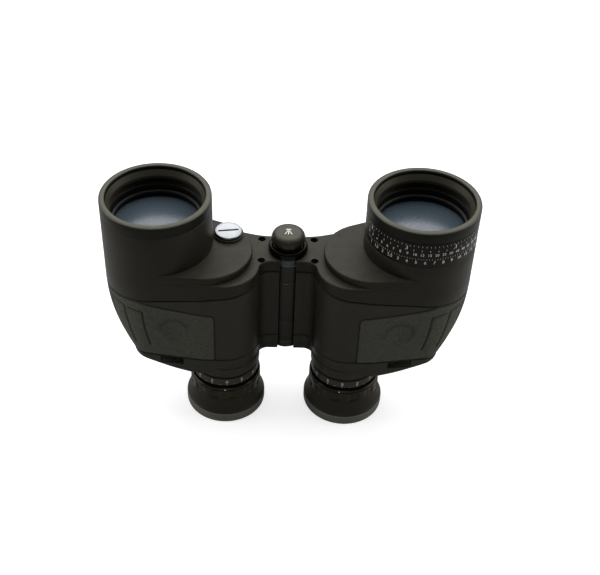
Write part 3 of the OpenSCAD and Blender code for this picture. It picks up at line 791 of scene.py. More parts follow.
def armourGrid():
    s = armourShape
    low = bodyShape["seamLow"] + 0.28
    top = columnSeam - 0.28
    mid = padTop(columnX)
    fine = np.array([0, 0.06, 0.16, 0.3, 0.5])
    vLow = np.linspace(0, 1, s["rows"])
    rowsLow = [low + f + 0 * mid for f in fine[:-1]] + [low + 0.5 + (mid - low - 0.5) * v for v in vLow]
    vUp = np.linspace(0, 1, s["upperRows"])[1:]
    rowsUp = [mid + (top - mid) * v for v in vUp * 0.9]
    rowsUp += [top - (top - mid) * 0.1 * w for w in (0.7, 0.45, 0.25, 0.1, 0)]
    z = np.array(rowsLow + rowsUp)
    padRow = len(rowsLow) - 1
    pts, nrm = onPod(z)
    x = np.abs(pts[..., 0])
    # distance from the rounded outline of the pad, minus inside
    c = s["padCorner"]
    dx = s["padEdge"] - x
    dz = z - padTop(x)
    qx, qz = dx + c, dz + c
    d = np.where((qx > 0) & (qz > 0), np.hypot(qx, qz) - c, np.maximum(dx, dz))
    drop = s["grooveDepth"] * np.exp(-(d / s["grooveWidth"]) ** 2)
    drop += np.where(d < 0, 0.12 * (1 - np.exp(d / 1.2)), 0)
    cx, cz, cr, cd = s["dimple"]
    front = pts[..., 1] < 0
    r = np.hypot(x - cx, (z - cz))
    drop += np.where(front, cd * np.clip(1 - (r / cr) ** 2, 0, 1), 0)
    ribMask = np.zeros(z.shape)
    for run in ribLines:
        run = np.array(run, float)
        colRun = np.arange(columns)[None, :] * np.ones_like(z)
        best = np.full(z.shape, 1e9)
        arc = s["columnWidth"]
        for a, b in zip(run[:-1], run[1:]):
            ax, az, bx, bz = a[0] * arc, a[1], b[0] * arc, b[1]
            px, pz = colRun * arc, z
            t = np.clip(((px - ax) * (bx - ax) + (pz - az) * (bz - az)) / ((bx - ax) ** 2 + (bz - az) ** 2), 0, 1)
            best = np.minimum(best, np.hypot(px - ax - t * (bx - ax), pz - az - t * (bz - az)))
        ribMask = np.maximum(ribMask, np.exp(-(best / 0.6) ** 2))
    ribMask = ribMask * (d < -0.5)
    drop += 0.5 * ribMask
    # painted shade: darker along the pad's groove, its ribs and the top and bottom edges of the armour
    paintedShade = np.exp(-(d / 0.6) ** 2) + 0.9 * ribMask
    paintedShade += np.exp(-((top - z) / 0.6) ** 2) + np.exp(-((z - low) / 0.6) ** 2)
    # painted shade: a dark crescent on the upper rim of the dimple
    upper = np.clip(0.5 + (z - s["dimple"][1]) / cr, 0, 1)
    paintedShade += np.where(front, 0.4 * np.exp(-((r - cr) / 2.0) ** 2) * upper, 0)
    drop += edgeDrop(z - low, s["lip"]) + edgeDrop(top - z, s["lip"])
    # painted shade: more darkening close to the top and bottom edges
    paintedShade += np.exp(-((z - low) / 0.35) ** 2) + np.exp(-((top - z) / 0.35) ** 2)
    sunk = pts - np.concatenate([nrm, np.zeros(z.shape + (1,))], -1) * drop[..., None]
    return sunk, nrm, np.minimum(paintedShade, 1), padRow


def closedSheet(grid, nrm, wall):
    # outer skin, inner wall and the four edges between them
    rows, cols = grid.shape[:2]
    verts = grid.reshape(-1, 3).tolist()
    faces = []
    for r in range(rows - 1):
        for c in range(cols - 1):
            a = r * cols + c
            faces.append((a, a + 1, a + cols + 1, a + cols))
    start = len(verts)
    for r in (0, rows - 1):
        inner = grid[r].copy()
        inner[:, :2] -= nrm[r] * wall
        verts.extend(inner.tolist())
    for c in range(cols - 1):
        lo, hi = start + c, start + cols + c
        faces.append((c, lo, lo + 1, c + 1))
        top = (rows - 1) * cols + c
        faces.append((top, top + 1, hi + 1, hi))
        faces.append((lo, hi, hi + 1, lo + 1))
    for c, flip in ((0, False), (cols - 1, True)):
        edge = [r * cols + c for r in range(rows)] + [start + cols + c, start + c]
        faces.append(tuple(edge[::-1] if flip else edge))
    return verts, faces


def keepPaintedShade(obj, paintedShade):
    # painted shade for each outer point: how far the finish darkens it, strongest in the grooves, along the seam
    # edges and on the dimple's upper rim, for the finish to read
    data = np.zeros(len(obj.data.vertices))
    data[:paintedShade.size] = paintedShade.reshape(-1)
    layer = obj.data.attributes.new("paintedShade", "FLOAT", "POINT")
    layer.data.foreach_set("value", data.astype(np.float32))


def buildArmour():
    s = armourShape
    grid, nrm, paintedShade, padRow = armourGrid()
    cFront = int(np.argmax(columnX > s["padEdge"]))
    cBack = columns - int(np.argmax(columnX[::-1] > s["padEdge"])) - 1
    sheet = grid.copy()
    under = (slice(0, padRow), slice(cFront + 1, cBack))
    sheet[under][..., :2] -= nrm[under] * (s["padWall"] + 0.05)
    for side, sign in sides.items():
        obj = meshObject(side + "Armour", *closedSheet(sheet, nrm, s["wall"]), side=sign)
        keepPaintedShade(obj, paintedShade)
        finishMesh(obj, armourRubber, sideBody(side), nodes=(side + "_armour",), sharp=50)
        pick = (slice(0, padRow + 1), slice(cFront, cBack + 1))
        pad = meshObject(side + "GripPad", *closedSheet(grid[pick], nrm[pick], s["padWall"]), side=sign)
        keepPaintedShade(pad, paintedShade[pick])
        finishMesh(pad, padRubber, sideBody(side), nodes=(side + "_grip_pad",), sharp=50)


buildArmour()
print("armour and grip pads done")


# ---- front cover: hinge plate, raised dome, barrel tube ----

coverShape = {
    "lip": 0.35,
    "plateEdge": 1.0,
    "domeEdge": 0.9,
    "knuckleWay": 10.95,
    "tubeTop": {"left": 136.62, "right": 120.72},
    "bossRadius": 8.8,
    "bossTop": 112.3,
}


def hingeReturn(gap=0.0, count=36):
    # the inner edge of one half: straight by the slot, round behind the knuckles
    r = coverShape["knuckleWay"]
    x = bodyShape["slot"] + gap
    a = math.acos(x / r)
    turn = np.linspace(a, -a, count)
    return np.stack([r * np.cos(turn), hinge[1] + r * np.sin(turn)], 1)


def closedRow(z, inset, trim=0.0, gap=0.0, level=None):
    # one closed loop of a half body at heights z, set in by inset
    if level is None:
        pts, _ = onPod(z, inset)
    else:
        p, n = podOutline(level, trim)
        q = p - n * np.asarray(inset)[..., None]
        pts = np.concatenate([q, np.broadcast_to(z, len(q))[:, None]], 1)
    back = hingeReturn(gap)
    zEnd = pts[0, 2]
    back = np.concatenate([back, np.full((len(back), 1), zEnd)], 1)
    return np.concatenate([pts, back])


def coverBlock():
    s = coverShape
    loops = []
    base = podOutline(100.0, 0.03)[0][:, 0]
    low = seamHigh(base) + 0.2
    for t in np.linspace(0, math.pi / 2, 5):
        inset = s["lip"] * (1 - math.sin(t))
        loops.append(closedRow(low + s["lip"] * (1 - math.cos(t)), inset, 0.03, level=100.0))
    topZ = bodyShape["plateZ"]
    for v in np.linspace(0, 1, 8)[1:]:
        z = low + s["lip"] + (topZ - s["plateEdge"] - low - s["lip"]) * v
        loops.append(closedRow(z, 0.0, 0.03, level=100.0))
    for t in np.linspace(0, math.pi / 2, 7)[1:]:
        e = s["plateEdge"]
        loops.append(closedRow(topZ - e + e * math.sin(t) + 0 * base, e * (1 - math.cos(t)), 0.03, level=100.0))
    loops.append(closedRow(topZ + 0 * base, s["plateEdge"] + 0.5, 0.03, level=100.0))
    return loft(loops)


def hullRing(circles, z, inset, count=300):
    phi = np.linspace(0, 2 * math.pi, count, endpoint=False)
    nrm = np.stack([np.cos(phi), np.sin(phi)], 1)
    c = np.array(circles, float)
    best = (c[:, :2] @ nrm.T + c[:, 2:3]).argmax(0)
    p = c[best, :2] + (c[best, 2:3] - inset) * nrm
    # spread the points so that the straight runs are shared out too
    p = np.concatenate([p, p[:1]])
    run = np.concatenate([[0], np.cumsum(np.hypot(*np.diff(p, axis=0).T))])
    u = np.linspace(0, run[-1], count, endpoint=False)
    q = np.stack([np.interp(u, run, p[:, k]) for k in (0, 1)], 1)
    return np.concatenate([q, np.full((count, 1), z)], 1)


def domeBlock():
    circles = [(47.2, -3.3, 26.8), (74.6, 3.1, 31.38)]
    e, top = coverShape["domeEdge"], bodyShape["domeZ"]
    loops = [hullRing(circles, 105.2, 0), hullRing(circles, 107.5, 0), hullRing(circles, top - e, 0)]
    for t in np.linspace(0, math.pi / 2, 7)[1:]:
        loops.append(hullRing(circles, top - e + e * math.sin(t), e * (1 - math.cos(t))))
    loops.append(hullRing(circles, top, e + 0.5))
    return loft(loops)


def tubeShape(top):
    # outer wall of the barrel; its foot follows the sloping seam
    steps, lip = 240, coverShape["lip"]
    verts, faces = [], []
    n = 0
    for k in range(steps):
        a = 2 * math.pi * k / steps
        foot = float(seamHigh(barrelAt[0] + 31.5 * math.cos(a))) + 0.12
        prof = [(29.3, foot + 0.4), (31.5 - lip, foot), (31.5 - lip * 0.45, foot + lip * 0.12),
                (31.5 - lip * 0.12, foot + lip * 0.45), (31.5, foot + lip)]
        prof += [(31.5, foot + lip + (top - 0.5 - foot - lip) * v) for v in (0.25, 0.5, 0.75, 1)]
        prof += [(31.4, top - 0.2), (31.15, top), (29.3, top)]
        n = len(prof)
        for r, z in prof:
            verts.append((barrelAt[0] + r * math.cos(a), barrelAt[1] + r * math.sin(a), z))
    for k in range(steps):
        for i in range(n):
            j, m = (i + 1) % n, (k + 1) % steps
            faces.append((k * n + i, m * n + i, m * n + j, k * n + j))
    return verts, faces


def addShape(obj, verts, faces, side=1):
    extra = meshObject("extra", verts, faces, side)
    bm = bmesh.new()
    bm.from_mesh(obj.data)
    bm.from_mesh(extra.data)
    bm.to_mesh(obj.data)
    bm.free()
    bpy.data.objects.remove(extra)


screwShape = {
    "places": [(15.2, 12.8), (15.2, -6.6)],
    "wellRadius": 2.25,
    "headRadius": 1.85,
    "headTop": 104.6,
    "socketRadius": 0.95,
}


def buildCovers():
    plate, dome = coverBlock(), domeBlock()
    for side, sign in sides.items():
        obj = meshObject(side + "FrontCover", *plate, side=sign)
        r = screwShape["wellRadius"]
        for x, y in screwShape["places"]:
            cutAway(obj, *turned([(0, 99.5), (r, 99.5), (r, 110), (0, 110)], (x, y), 40), side=sign)
        addShape(obj, *dome, side=sign)
        if side == "left":
            wide, top = coverShape["bossRadius"], coverShape["bossTop"]
            boss = [(0, 106.2), (wide, 106.2), (wide, top, 0.4), (0, top)]
            addShape(obj, *turned(boss, (34.6, 10.3), 96), side=sign)
        finishMesh(obj, coverRubber, sideBody(side), nodes=(side + "_front_cover",))
        tube = meshObject(side + "BarrelTube", *tubeShape(coverShape["tubeTop"][side]), side=sign)
        finishMesh(tube, coverRubber, sideBody(side), nodes=(side + "_barrel_tube",))


buildCovers()
print("front covers done")


# ---- rear cover ----

rearShape = {
    "lip": 0.4,
    "inward": 4.6,
    "inwardSpan": (64, 88),
    "footEdge": 2.2,
    "strapWide": (60.0, 74.0),
    "strapTall": (43.4, 48.4),
}


def rearBlock():
    s = rearShape
    top = bodyShape["seamLow"] - 0.22
    base = bottomZ(tableP[12, :, 0])
    e = np.minimum(s["footEdge"], 0.8 * (top - s["lip"] - base))
    loops = []
    for t in np.linspace(0, math.pi / 2, 5):
        loops.append(closedRow(top - s["lip"] * math.sin(t) + 0 * base, s["lip"] * (1 - math.sin(t)) + 0.0))
    for v in np.linspace(0, 1, 9)[1:]:
        loops.append(closedRow(top - s["lip"] - (top - s["lip"] - base - e) * v, 0.0))
    inward = e + s["inward"] * softStep(tableP[12, :, 0], *s["inwardSpan"])
    for t in np.linspace(0, math.pi / 2, 9)[1:]:
        loops.append(closedRow(base + e - e * math.sin(t), inward * (1 - math.cos(t))))
    last = loops[-1]
    for k in (0.25, 0.5, 0.75, 0.96):
        loop = last.copy()
        spineX = np.clip(last[:, 0], 16, 72)
        loop[:, 0] = last[:, 0] * (1 - k) + spineX * k
        loop[:, 1] = last[:, 1] * (1 - k) + 0.5 * k
        loop[:, 2] = bottomZ(loop[:, 0])
        loops.append(loop)
    return loft(loops)


def buildRear():
    s = rearShape
    collar = turned([(17.2, 35, 0.2), (20.8, 35, 0.5), (20.8, 41), (17.2, 41)], eyeAt, 160)
    for side, sign in sides.items():
        obj = meshObject(side + "RearCover", *rearBlock(), side=sign)
        x0, x1 = s["strapWide"]
        z0, z1 = s["strapTall"]
        cutAway(obj, *boxShape((x0, -45, z0), (x1, -24.2, z1)), side=sign)
        cutAway(obj, *boxShape((x0, -26.5, 30), (x1, -24.25, z1 - 0.2)), side=sign)
        addShape(obj, *collar, side=sign)
        finishMesh(obj, rearRubber, sideBody(side), nodes=(side + "_rear_cover",), sharp=38)


buildRear()
print("rear covers done")


# ---- castings and knuckles ----

castShape = {
    "inset": 1.75,
    "footZ": 42.0,
    "footRise": 5.4,
    "footSpan": (58, 82),
    "hollow": [(36.4, -10.5, 15.3), (47.2, -3.3, 22.5), (74.0, 1.0, 24.0)],
    "hollowZ": (45.0, 94.5),
    "bands": {"left": [(43.45, 56.85), (88.05, 100.75)], "right": [(57.15, 87.75), (101.05, 105.85)]},
    "bandEdge": 0.45,
}


def buildCastings():
    s = castShape
    for side, sign in sides.items():
        loops = []
        outer = softStep(columnX, *s["footSpan"])
        foot = s["footZ"] + s["footRise"] * outer
        for v in (0.0, 0.3, 0.6, 1.0):
            loops.append(closedRow(foot + (52.0 - foot) * v, s["inset"] + s["footRise"] * outer * (1 - v)))
        for z in (58, 64, 70, 76, 82, 88, 94, 97.5):
            loops.append(closedRow(z + 0 * columnX, s["inset"]))
        core = meshObject(side + "Casting", *loft(loops), side=sign)
        inner = [hullRing(s["hollow"], z, 0, 160) for z in s["hollowZ"]]
        cutAway(core, *loft(inner), side=sign)
        finishMesh(core, castPaint, sideBody(side), nodes=(side + "_housing",))
        for k, (a, b) in enumerate(s["bands"][side]):
            e = s["bandEdge"]
            ring = turned([(5.02, a), (10.6, a, e), (10.6, b, e), (5.02, b)], hinge, 128)
            web = boxShape((8.0, hinge[1] - 5, a), (12.5, hinge[1] + 5, min(b, 103.4)))
            band = meshObject("%sKnuckle%d" % (side, k + 1), *joinShapes(ring, web), side=sign)
            finish = knuckleAlloy if a > 100 else knucklePaint
            finishMesh(band, finish, sideBody(side))
            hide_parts(side + "_housing")


buildCastings()
print("castings done")


# ---- objectives ----

objectiveShape = {
    "rim": [(29.2, 136.85, 0.2), (31.5, 136.85, 0.45), (31.5, 143.8, 1.5), (28.3, 143.8, 0.5), (28.0, 143.0, 0.3),
            (28.0, 141.0), (29.2, 141.0)],
    "bevel": [(27.85, 141.45, 0.2), (25.9, 138.2, 0.25), (25.9, 136.4, 0.2), (27.9, 136.4)],
    "threadLow": 133.9,
    "threadHigh": 136.4,
    "lipFrom": 143.1,
}


def baffleShape():
    # dark inside of the tube: fine threads, a lighter band, then a plain wall
    s = objectiveShape
    prof = [(29.2, 141.2), (28.1, 141.2), (28.1, 136.3), (26.0, 136.3)]
    z = s["threadHigh"]
    while z > s["threadLow"]:
        prof += [(26.35, z - 0.2), (25.95, z - 0.4)]
        z -= 0.4
    prof += [(26.5, 133.6), (26.5, 133.0), (25.7, 132.2), (25.7, 127.3), (25.2, 127.2), (25.2, 119.2)]
    prof += [(24.2, 119.2), (24.2, 113), (29.2, 113)]
    return prof


def lensShape(radius, edgeZ, sphere, flatZ):
    # domed glass disc with a small ground edge
    prof = []
    drop = sphere - math.sqrt(sphere ** 2 - radius ** 2)
    for k in range(25):
        r = radius * k / 24
        prof.append((r, edgeZ + drop - (sphere - math.sqrt(sphere ** 2 - r * r))))
    prof += [(radius, flatZ + 0.4), (radius - 0.4, flatZ), (0, flatZ)]
    return prof


def buildObjectives():
    s = objectiveShape
    for side, sign in sides.items():
        body = sideBody(side)
        rim = meshObject(side + "ObjectiveRim", *turned(s["rim"], barrelAt, 224), side=sign)
        finishMesh(rim, rimShadedRubber, body, nodes=(side + "_objective_rim",), sharp=28)
        # painted light: faces above the lip height take the lighter lit copy of the rim rubber
        rim.data.materials.append(rimLitLip)
        for poly in rim.data.polygons:
            if poly.center.z > s["lipFrom"] * 0.001:
                poly.material_index = 1
        bevel = meshObject(side + "RetainingBevel", *turned(s["bevel"], barrelAt, 224), side=sign)
        finishMesh(bevel, bevelPaint, body, sharp=28)
        cell = meshObject(side + "ObjectiveCell", *turned(baffleShape(), barrelAt, 224), side=sign)
        finishMesh(cell, cellBlack, body, nodes=(side + "_objective_cell",), sharp=28)
        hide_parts(side + "_objective_cell")
        band = meshObject(side + "LockRing", *turned([(24.4, 127.35, 0.1), (24.4, 128.6, 0.2), (25.65, 128.9, 0.1),
                                                      (25.65, 127.35)], barrelAt, 224), side=sign)
        finishMesh(band, cellBand, body, nodes=(side + "_lens_ring",), sharp=28)
        lens = meshObject(side + "ObjectiveLens", *turned(lensShape(25.15, 124.3, 200.0, 119.3), barrelAt, 192),
                          side=sign)
        finishMesh(lens, coatedLens, body, nodes=(side + "_objective_lens",), sharp=40)
        # a dark disc below the lens stands in for the shade inside the tube
        back = meshObject(side + "TubeBaffle", *turned([(0, 112.4), (24.1, 112.4), (24.1, 113.4), (10.0, 113.4),
                                                        (9.0, 112.9), (0, 112.9)], barrelAt, 128), side=sign)
        finishMesh(back, cellBlack, body)
        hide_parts(side + "_objective_cell")


buildObjectives()
print("objectives done")


# ---- turning dial ----

dialShape = {
    "low": 120.95,
    "high": 136.55,
    "radius": 31.42,
    "smallFigures": ["2", "3", "4", "5", "6", "7", "8", "9", "10", "12", "15", "20", "25", "30", "40", "50", "60",
                     "70", "80", "90"],
    "largeFigures": ["1", "1.5", "2", "2.5", "3", "4", "5", "6", "7", "8", "9", "10",
                     "12", "14", "16", "18", "20"],
    "firstAngle": 216.0,
}


def buildDial():
    s = dialShape
    ring = meshObject("dialRing", *turned([(29.32, s["low"], 0.2), (s["radius"], s["low"], 0.35),
                                           (s["radius"], 126.55, 0.05), (s["radius"] - 0.16, 126.75, 0.05),
                                           (s["radius"] - 0.16, 126.95, 0.05), (s["radius"], 127.15, 0.05),
                                           (s["radius"], s["high"], 0.35), (29.32, s["high"], 0.2)],
                                          barrelAt, 256))
    finishMesh(ring, dialPlastic, "dial", nodes=("dial_ring",), sharp=28)
    shapes = []
    for k, text in enumerate(s["smallFigures"]):
        a = math.radians(s["firstAngle"] + k * 7.4 - 18)
        shapes.append(wrapRound(glyph(text, 2.4, 0.1), barrelAt, s["radius"] + 0.02, a, 129.3))
    for k, text in enumerate(s["largeFigures"]):
        a = math.radians(s["firstAngle"] + k * 9.2 - 12)
        shapes.append(wrapRound(glyph(text, 2.8, 0.1), barrelAt, s["radius"] + 0.02, a, 124.1))
    figures = meshObject("dialFigures", *joinShapes(*shapes))
    finishMesh(figures, scalePaint, "dial", sharp=20)
    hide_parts("dial_ring")
    tree = marksTree()
    centre = (barrelAt[0] * 0.001, barrelAt[1] * 0.001)
    rows = [("dialTicksLow", 128, 2.75, 126.3, 0.7, 0.16), ("dialTicksMid", 42, 8.25, 131.9, 1.1, 0.22),
            ("dialTicksHigh", 84, 4.125, 134.8, 0.8, 0.18)]
    for name, count, step, z, tall, wide in rows:
        obj = bakeTree(name, tree, {
            "Count": count, "Start": math.radians(198), "Step": math.radians(step),
            "Centre": (centre[0], centre[1], z * 0.001), "Radius": s["radius"] * 0.001,
            "Size": (0.0001, wide * 0.001, tall * 0.001), "Finish": scalePaint})
        finishMesh(obj, scalePaint, "dial", sharp=20)
        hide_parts("dial_ring")
    mark = boxShape((-0.22, -1.2, -0.05), (0.22, 1.2, 0.06))
    bar = [wrapRound(mark, barrelAt, s["radius"], math.radians(a), 133.0) for a in (203.0, 249.0, 299.0)]
    pointer = meshObject("dialPointers", *joinShapes(*bar))
    finishMesh(pointer, scalePaint, "dial", sharp=20)
    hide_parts("dial_ring")


buildDial()
print("dial done")


# ---- eyepieces ----

eyeShape = {
    "cup": [(22.3, 0, 0.3), (23.9, 0, 0.5), (24.1, 1.2, 0.3), (24.1, 5.9, 0.5), (22.9, 7.4, 0.5), (22.1, 9.4, 0.5),
            (21.6, 12.7, 0.6), (21.1, 15.85, 0.3), (17.3, 15.85), (17.3, 11.9), (15.75, 11.9), (15.75, 6.0, 0.4),
            (17.6, 6.0, 0.5), (21.7, 0.6, 0.4)],
    "ringLow": 15.95,
    "ringTop": 24.0,
    "lipTop": 25.68,
    "bandTop": 6.2,
    "flutes": 12,
    "fluteDepth": 0.75,
    "figures": ["4", "2", "0", "2", "4"],
    "zeroAt": {"left": 275.3, "right": 264.0},
    "figureStep": 26.0,
    "dotAt": {"left": 271.8, "right": 259.8},
}


def fluteWave(r, z, a):
    s = eyeShape
    if r < 20.0 or z < s["ringLow"] + 0.6 or z > s["ringTop"] - 0.5:
        return r
    t = (a * s["flutes"] / (2 * math.pi)) % 1.0
    u = abs(t - 0.5) * 2          # 0 in the middle of a flute, 1 on a land
    depth = s["fluteDepth"] * (1 - softStepNumber(u, 0.35, 0.78))
    ends = min(softStepNumber(z, s["ringLow"] + 0.6, s["ringLow"] + 2.0),
               1 - softStepNumber(z, s["ringTop"] - 2.0, s["ringTop"] - 0.5))
    return r - depth * ends


def softStepNumber(x, a, b):
    t = min(max((x - a) / (b - a), 0.0), 1.0)
    return t * t * (3 - 2 * t)


def focusProfile():
    s = eyeShape
    prof = [(17.06, s["ringLow"]), (20.9, s["ringLow"]), (21.3, s["ringLow"] + 0.4)]
    height = s["ringTop"] - 0.4 - s["ringLow"] - 0.4
    prof += [(21.3, s["ringLow"] + 0.4 + height * v) for v in np.linspace(0, 1, 18)[1:]]
    prof += [(21.05, s["ringTop"]), (20.75, s["ringTop"] + 0.05), (20.75, s["ringTop"] + 0.25)]
    prof += [(21.0, s["ringTop"] + 0.4),
             (21.0, s["lipTop"] - 0.35), (20.65, s["lipTop"]), (17.06, s["lipTop"])]
    return prof


def buildEyepieces():
    s = eyeShape
    for side, sign in sides.items():
        body, turn = sideBody(side), side + "_focus"
        centre = (sign * eyeAt[0], eyeAt[1])
        cup = meshObject(side + "Eyecup", *turned(s["cup"], eyeAt, 200), side=sign)
        finishMesh(cup, cupRubber, turn, nodes=(side + "_eyecup",), sharp=28)
        # painted reflection: faces below the band height take the lighter flange paint
        cup.data.materials.append(cupFlangeReflection)
        for poly in cup.data.polygons:
            if poly.center.z < s["bandTop"] * 0.001:
                poly.material_index = 1
        ring = meshObject(side + "FocusRing", *turned(focusProfile(), centre, 288, wave=fluteWave))
        finishMesh(ring, focusPlastic, turn, nodes=(side + "_focus_ring",), sharp=40)
        dot = meshObject(side + "IndexDot", *wrapRound(discShape(0.42, 0.12), centre, 21.0,
                                                       math.radians(s["dotAt"][side]), 24.85))
        finishMesh(dot, scalePaint, turn)
        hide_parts(side + "_focus_ring")
        scale = meshObject(side + "DioptreRing", *turned([(17.05, 27.75), (19.9, 27.75, 0.1), (20.2, 28.05, 0.1),
                                                          (20.2, 32.7, 0.1), (19.9, 33.0, 0.1), (17.05, 33.0)],
                                                         eyeAt, 192), side=sign)
        finishMesh(scale, dioptrePlastic, body, nodes=(side + "_dioptre_ring",), sharp=28)
        shapes = []
        for k, text in enumerate(s["figures"]):
            a = math.radians(s["zeroAt"][side] + (k - 2) * s["figureStep"])
            shapes.append(wrapRound(glyph(text, 3.1, 0.1), centre, 20.22, a, 30.9))
            shapes.append(wrapRound(boxShape((-0.12, -0.38, -0.05), (0.12, 0.38, 0.05)), centre, 20.22, a, 28.75))
            if k < 4:
                shapes.append(wrapRound(boxShape((-0.09, -0.26, -0.05), (0.09, 0.26, 0.05)), centre, 20.22,
                                        a + math.radians(s["figureStep"] / 2), 28.6))
        figures = meshObject(side + "DioptreFigures", *joinShapes(*shapes))
        finishMesh(figures, scalePaint, body, sharp=20)
        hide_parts(side + "_dioptre_ring")


def discShape(radius, thick, count=24):
    v, f = [], []
    for z in (-thick / 2, thick / 2):
        v += [(radius * math.cos(2 * math.pi * k / count), radius * math.sin(2 * math.pi * k / count), z)
              for k in range(count)]
    f.append(tuple(range(count - 1, -1, -1)))
    f.append(tuple(range(count, 2 * count)))
    f += [(k, (k + 1) % count, count + (k + 1) % count, count + k) for k in range(count)]
    return v, f


buildEyepieces()
print("eyepieces done")


# ---- hinge screws, nut, battery cap, tripod cap ----

def screwHead():
    # round head with a hexagon socket, its top at z = 0
    s = screwShape
    v, f = [], []
    outer = [(s["headRadius"], -4.0), (s["headRadius"], -0.25), (s["headRadius"] - 0.25, 0.0), (1.25, 0.0)]
    n = 24
    for r, z in outer:
        v += [(r * math.cos(2 * math.pi * k / n), r * math.sin(2 * math.pi * k / n), z) for k in range(n)]
    for z in (0.0, -1.4):
        for k in range(n):
            a = 2 * math.pi * k / n
            r = s["socketRadius"] * math.cos(math.pi / 6) / math.cos((a % (math.pi / 3)) - math.pi / 6)
            v.append((r * math.cos(a), r * math.sin(a), z))
    for row in range(5):
        low, high = row * n, (row + 1) * n
        f += [(low + k, low + (k + 1) % n, high + (k + 1) % n, high + k) for k in range(n)]
    f.append(tuple(range(n - 1, -1, -1)))
    f.append(tuple(range(5 * n, 6 * n)))
    return v, f


def buildScrews():
    s = screwShape
    tree = placedTree()
    head = meshObject("screwPattern", *screwHead())
    for side, sign in sides.items():
        spots = [(sign * x * 0.001, y * 0.001, s["headTop"] * 0.001) for x, y in s["places"]]
        obj = bakeTree(side + "HingeScrews", tree, {"Part": head, "Turn": 0.4, "Finish": darkSteel}, points=spots)
        finishMesh(obj, darkSteel, sideBody(side), nodes=(side + "_hinge_screws",))
    bpy.data.objects.remove(head)


capShape = {
    "battery": [(0, 112.35), (7.7, 112.35), (8.0, 112.65, 0.1), (8.0, 113.7, 0.3), (7.5, 114.2, 0.3),
                (6.9, 114.2, 0.1), (6.75, 114.05, 0.1), (0, 114.05)],
    "stem": [(0, 110.35), (6.85, 110.35), (6.85, 112.5), (0, 112.5)],
    "slotTurn": 8.0,
    "socket": [(3.2, 95.7), (4.98, 95.7), (4.98, 106.3), (11.3, 106.3, 0.2), (11.4, 109.3, 0.8),
               (10.6, 110.5, 0.6), (8.9, 110.5, 0.4), (8.45, 109.8, 0.3), (8.45, 107.9, 0.2), (6.88, 107.9),
               (6.88, 110.45, 0.3), (3.2, 110.45, 0.3)],
    "tripod": [(0, 110.9), (7.02, 110.9), (7.02, 108.2, 0.2), (8.15, 108.2, 0.2), (8.15, 112.5, 0.4),
               (9.3, 112.8, 0.3),
               (9.9, 113.7, 0.35), (9.9, 114.8, 0.8), (9.1, 117.5, 1.6), (7.2, 118.88, 1.4), (0, 118.88)],
    "topFrom": 114.2,
    "nut": [(0, 37.1), (9.4, 37.1, 0.6), (10.55, 38.1, 0.6), (10.55, 43.3, 0.3), (0, 43.3)],
}


def buildCaps():
    s = capShape
    cap = meshObject("batteryCap", *turned(s["battery"], (0, 0), 128))
    a = math.radians(s["slotTurn"])
    v, f = boxShape((-5.9, -0.75, 113.1), (5.9, 0.75, 120))
    v = [(x * math.cos(a) - y * math.sin(a), x * math.sin(a) + y * math.cos(a), z) for x, y, z in v]
    cutAway(cap, v, f)
    stem = meshObject("stem", *turned(s["stem"], (0, 0), 96))
    bm = bmesh.new()
    bm.from_mesh(cap.data)
    bm.from_mesh(stem.data)
    bmesh.ops.translate(bm, verts=bm.verts, vec=(-0.0346, 0.0103, 0))
    bm.to_mesh(cap.data)
    bm.free()
    bpy.data.objects.remove(stem)
    finishMesh(cap, capChrome, "battery_lid", nodes=("battery_cap",), sharp=28)

    seat = meshObject("tripodSeat", *turned(s["socket"], hinge, 160))
    finishMesh(seat, socketBlack, "left_barrel", nodes=("tripod_socket",), sharp=28)
    nut = meshObject("hingeNut", *turned(s["nut"], hinge, 128))
    for x in (-5.5, 5.5):
        cutAway(nut, *turned([(0, 30), (1.1, 30), (1.1, 39), (0, 39)], (x, hinge[1]), 32))
    finishMesh(nut, bezelPlastic, "left_barrel", nodes=("hinge_nut",), sharp=30)

    top = meshObject("tripodCap", *turned(s["tripod"], hinge, 160))
    finishMesh(top, tripodPlastic, "tripod_lid", nodes=("tripod_cap",), sharp=28)
    top.data.materials.append(tripodSide)
    for poly in top.data.polygons:
        if poly.center.z < s["topFrom"] * 0.001:
            poly.material_index = 1
    # plain three-legged sign: a head and three legs
    sign = [boxShape((-1.5, 1.5, -0.06), (1.5, 2.3, 0.06))]
    for lean in (-2.0, 0.0, 2.0):
        v, f = boxShape((-0.28, -2.6, -0.06), (0.28, 1.6, 0.06))
        sign.append(([(x + (1.6 - y) / 4.2 * lean, y, z) for x, y, z in v], f))
    v, f = joinShapes(*sign)
    mark = meshObject("tripodSign", [(x, y + hinge[1], z + 118.9) for x, y, z in v], f)
    finishMesh(mark, scalePaint, "tripod_lid")
    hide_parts("tripod_cap")


buildScrews()
buildCaps()
print("small parts done")


# ---- compass and light at the back ----

compassShape = {
    "windowDent": (8.7, -5.4),     # radius, level
    "buttonDent": (5.0, 18.4),
    "at": (-57.0, 30.0, 82.0),
    "turn": -21.3,
    "bezel": [(7.02, -4.55), (8.98, -4.55), (8.98, 1.5, 0.5), (8.4, 2.0, 0.5), (7.4, 2.0, 0.3), (7.02, 1.4, 0.2)],
    "window": [(0, -1.05), (6.95, -1.05), (6.95, 0.5, 0.2), (6.0, 0.9, 0.3), (0, 0.95)],
    "button": [(0, 20.45), (5.1, 20.45), (5.1, 24.7, 0.5), (4.4, 25.25, 0.4), (3.6, 25.25, 0.2), (3.3, 25.05, 0.2),
               (0, 25.05)],
}


def outwards(shape, at, turn):
    # lays a turned shape down so that its axis points out of the back wall
    a = math.radians(turn)
    out = []
    for x, y, z in shape[0]:
        px, py, pz = x, z, -y
        turnedX = px * math.cos(a) - py * math.sin(a)
        turnedY = px * math.sin(a) + py * math.cos(a)
        out.append((at[0] + turnedX, at[1] + turnedY, at[2] + pz))
    return out, shape[1]


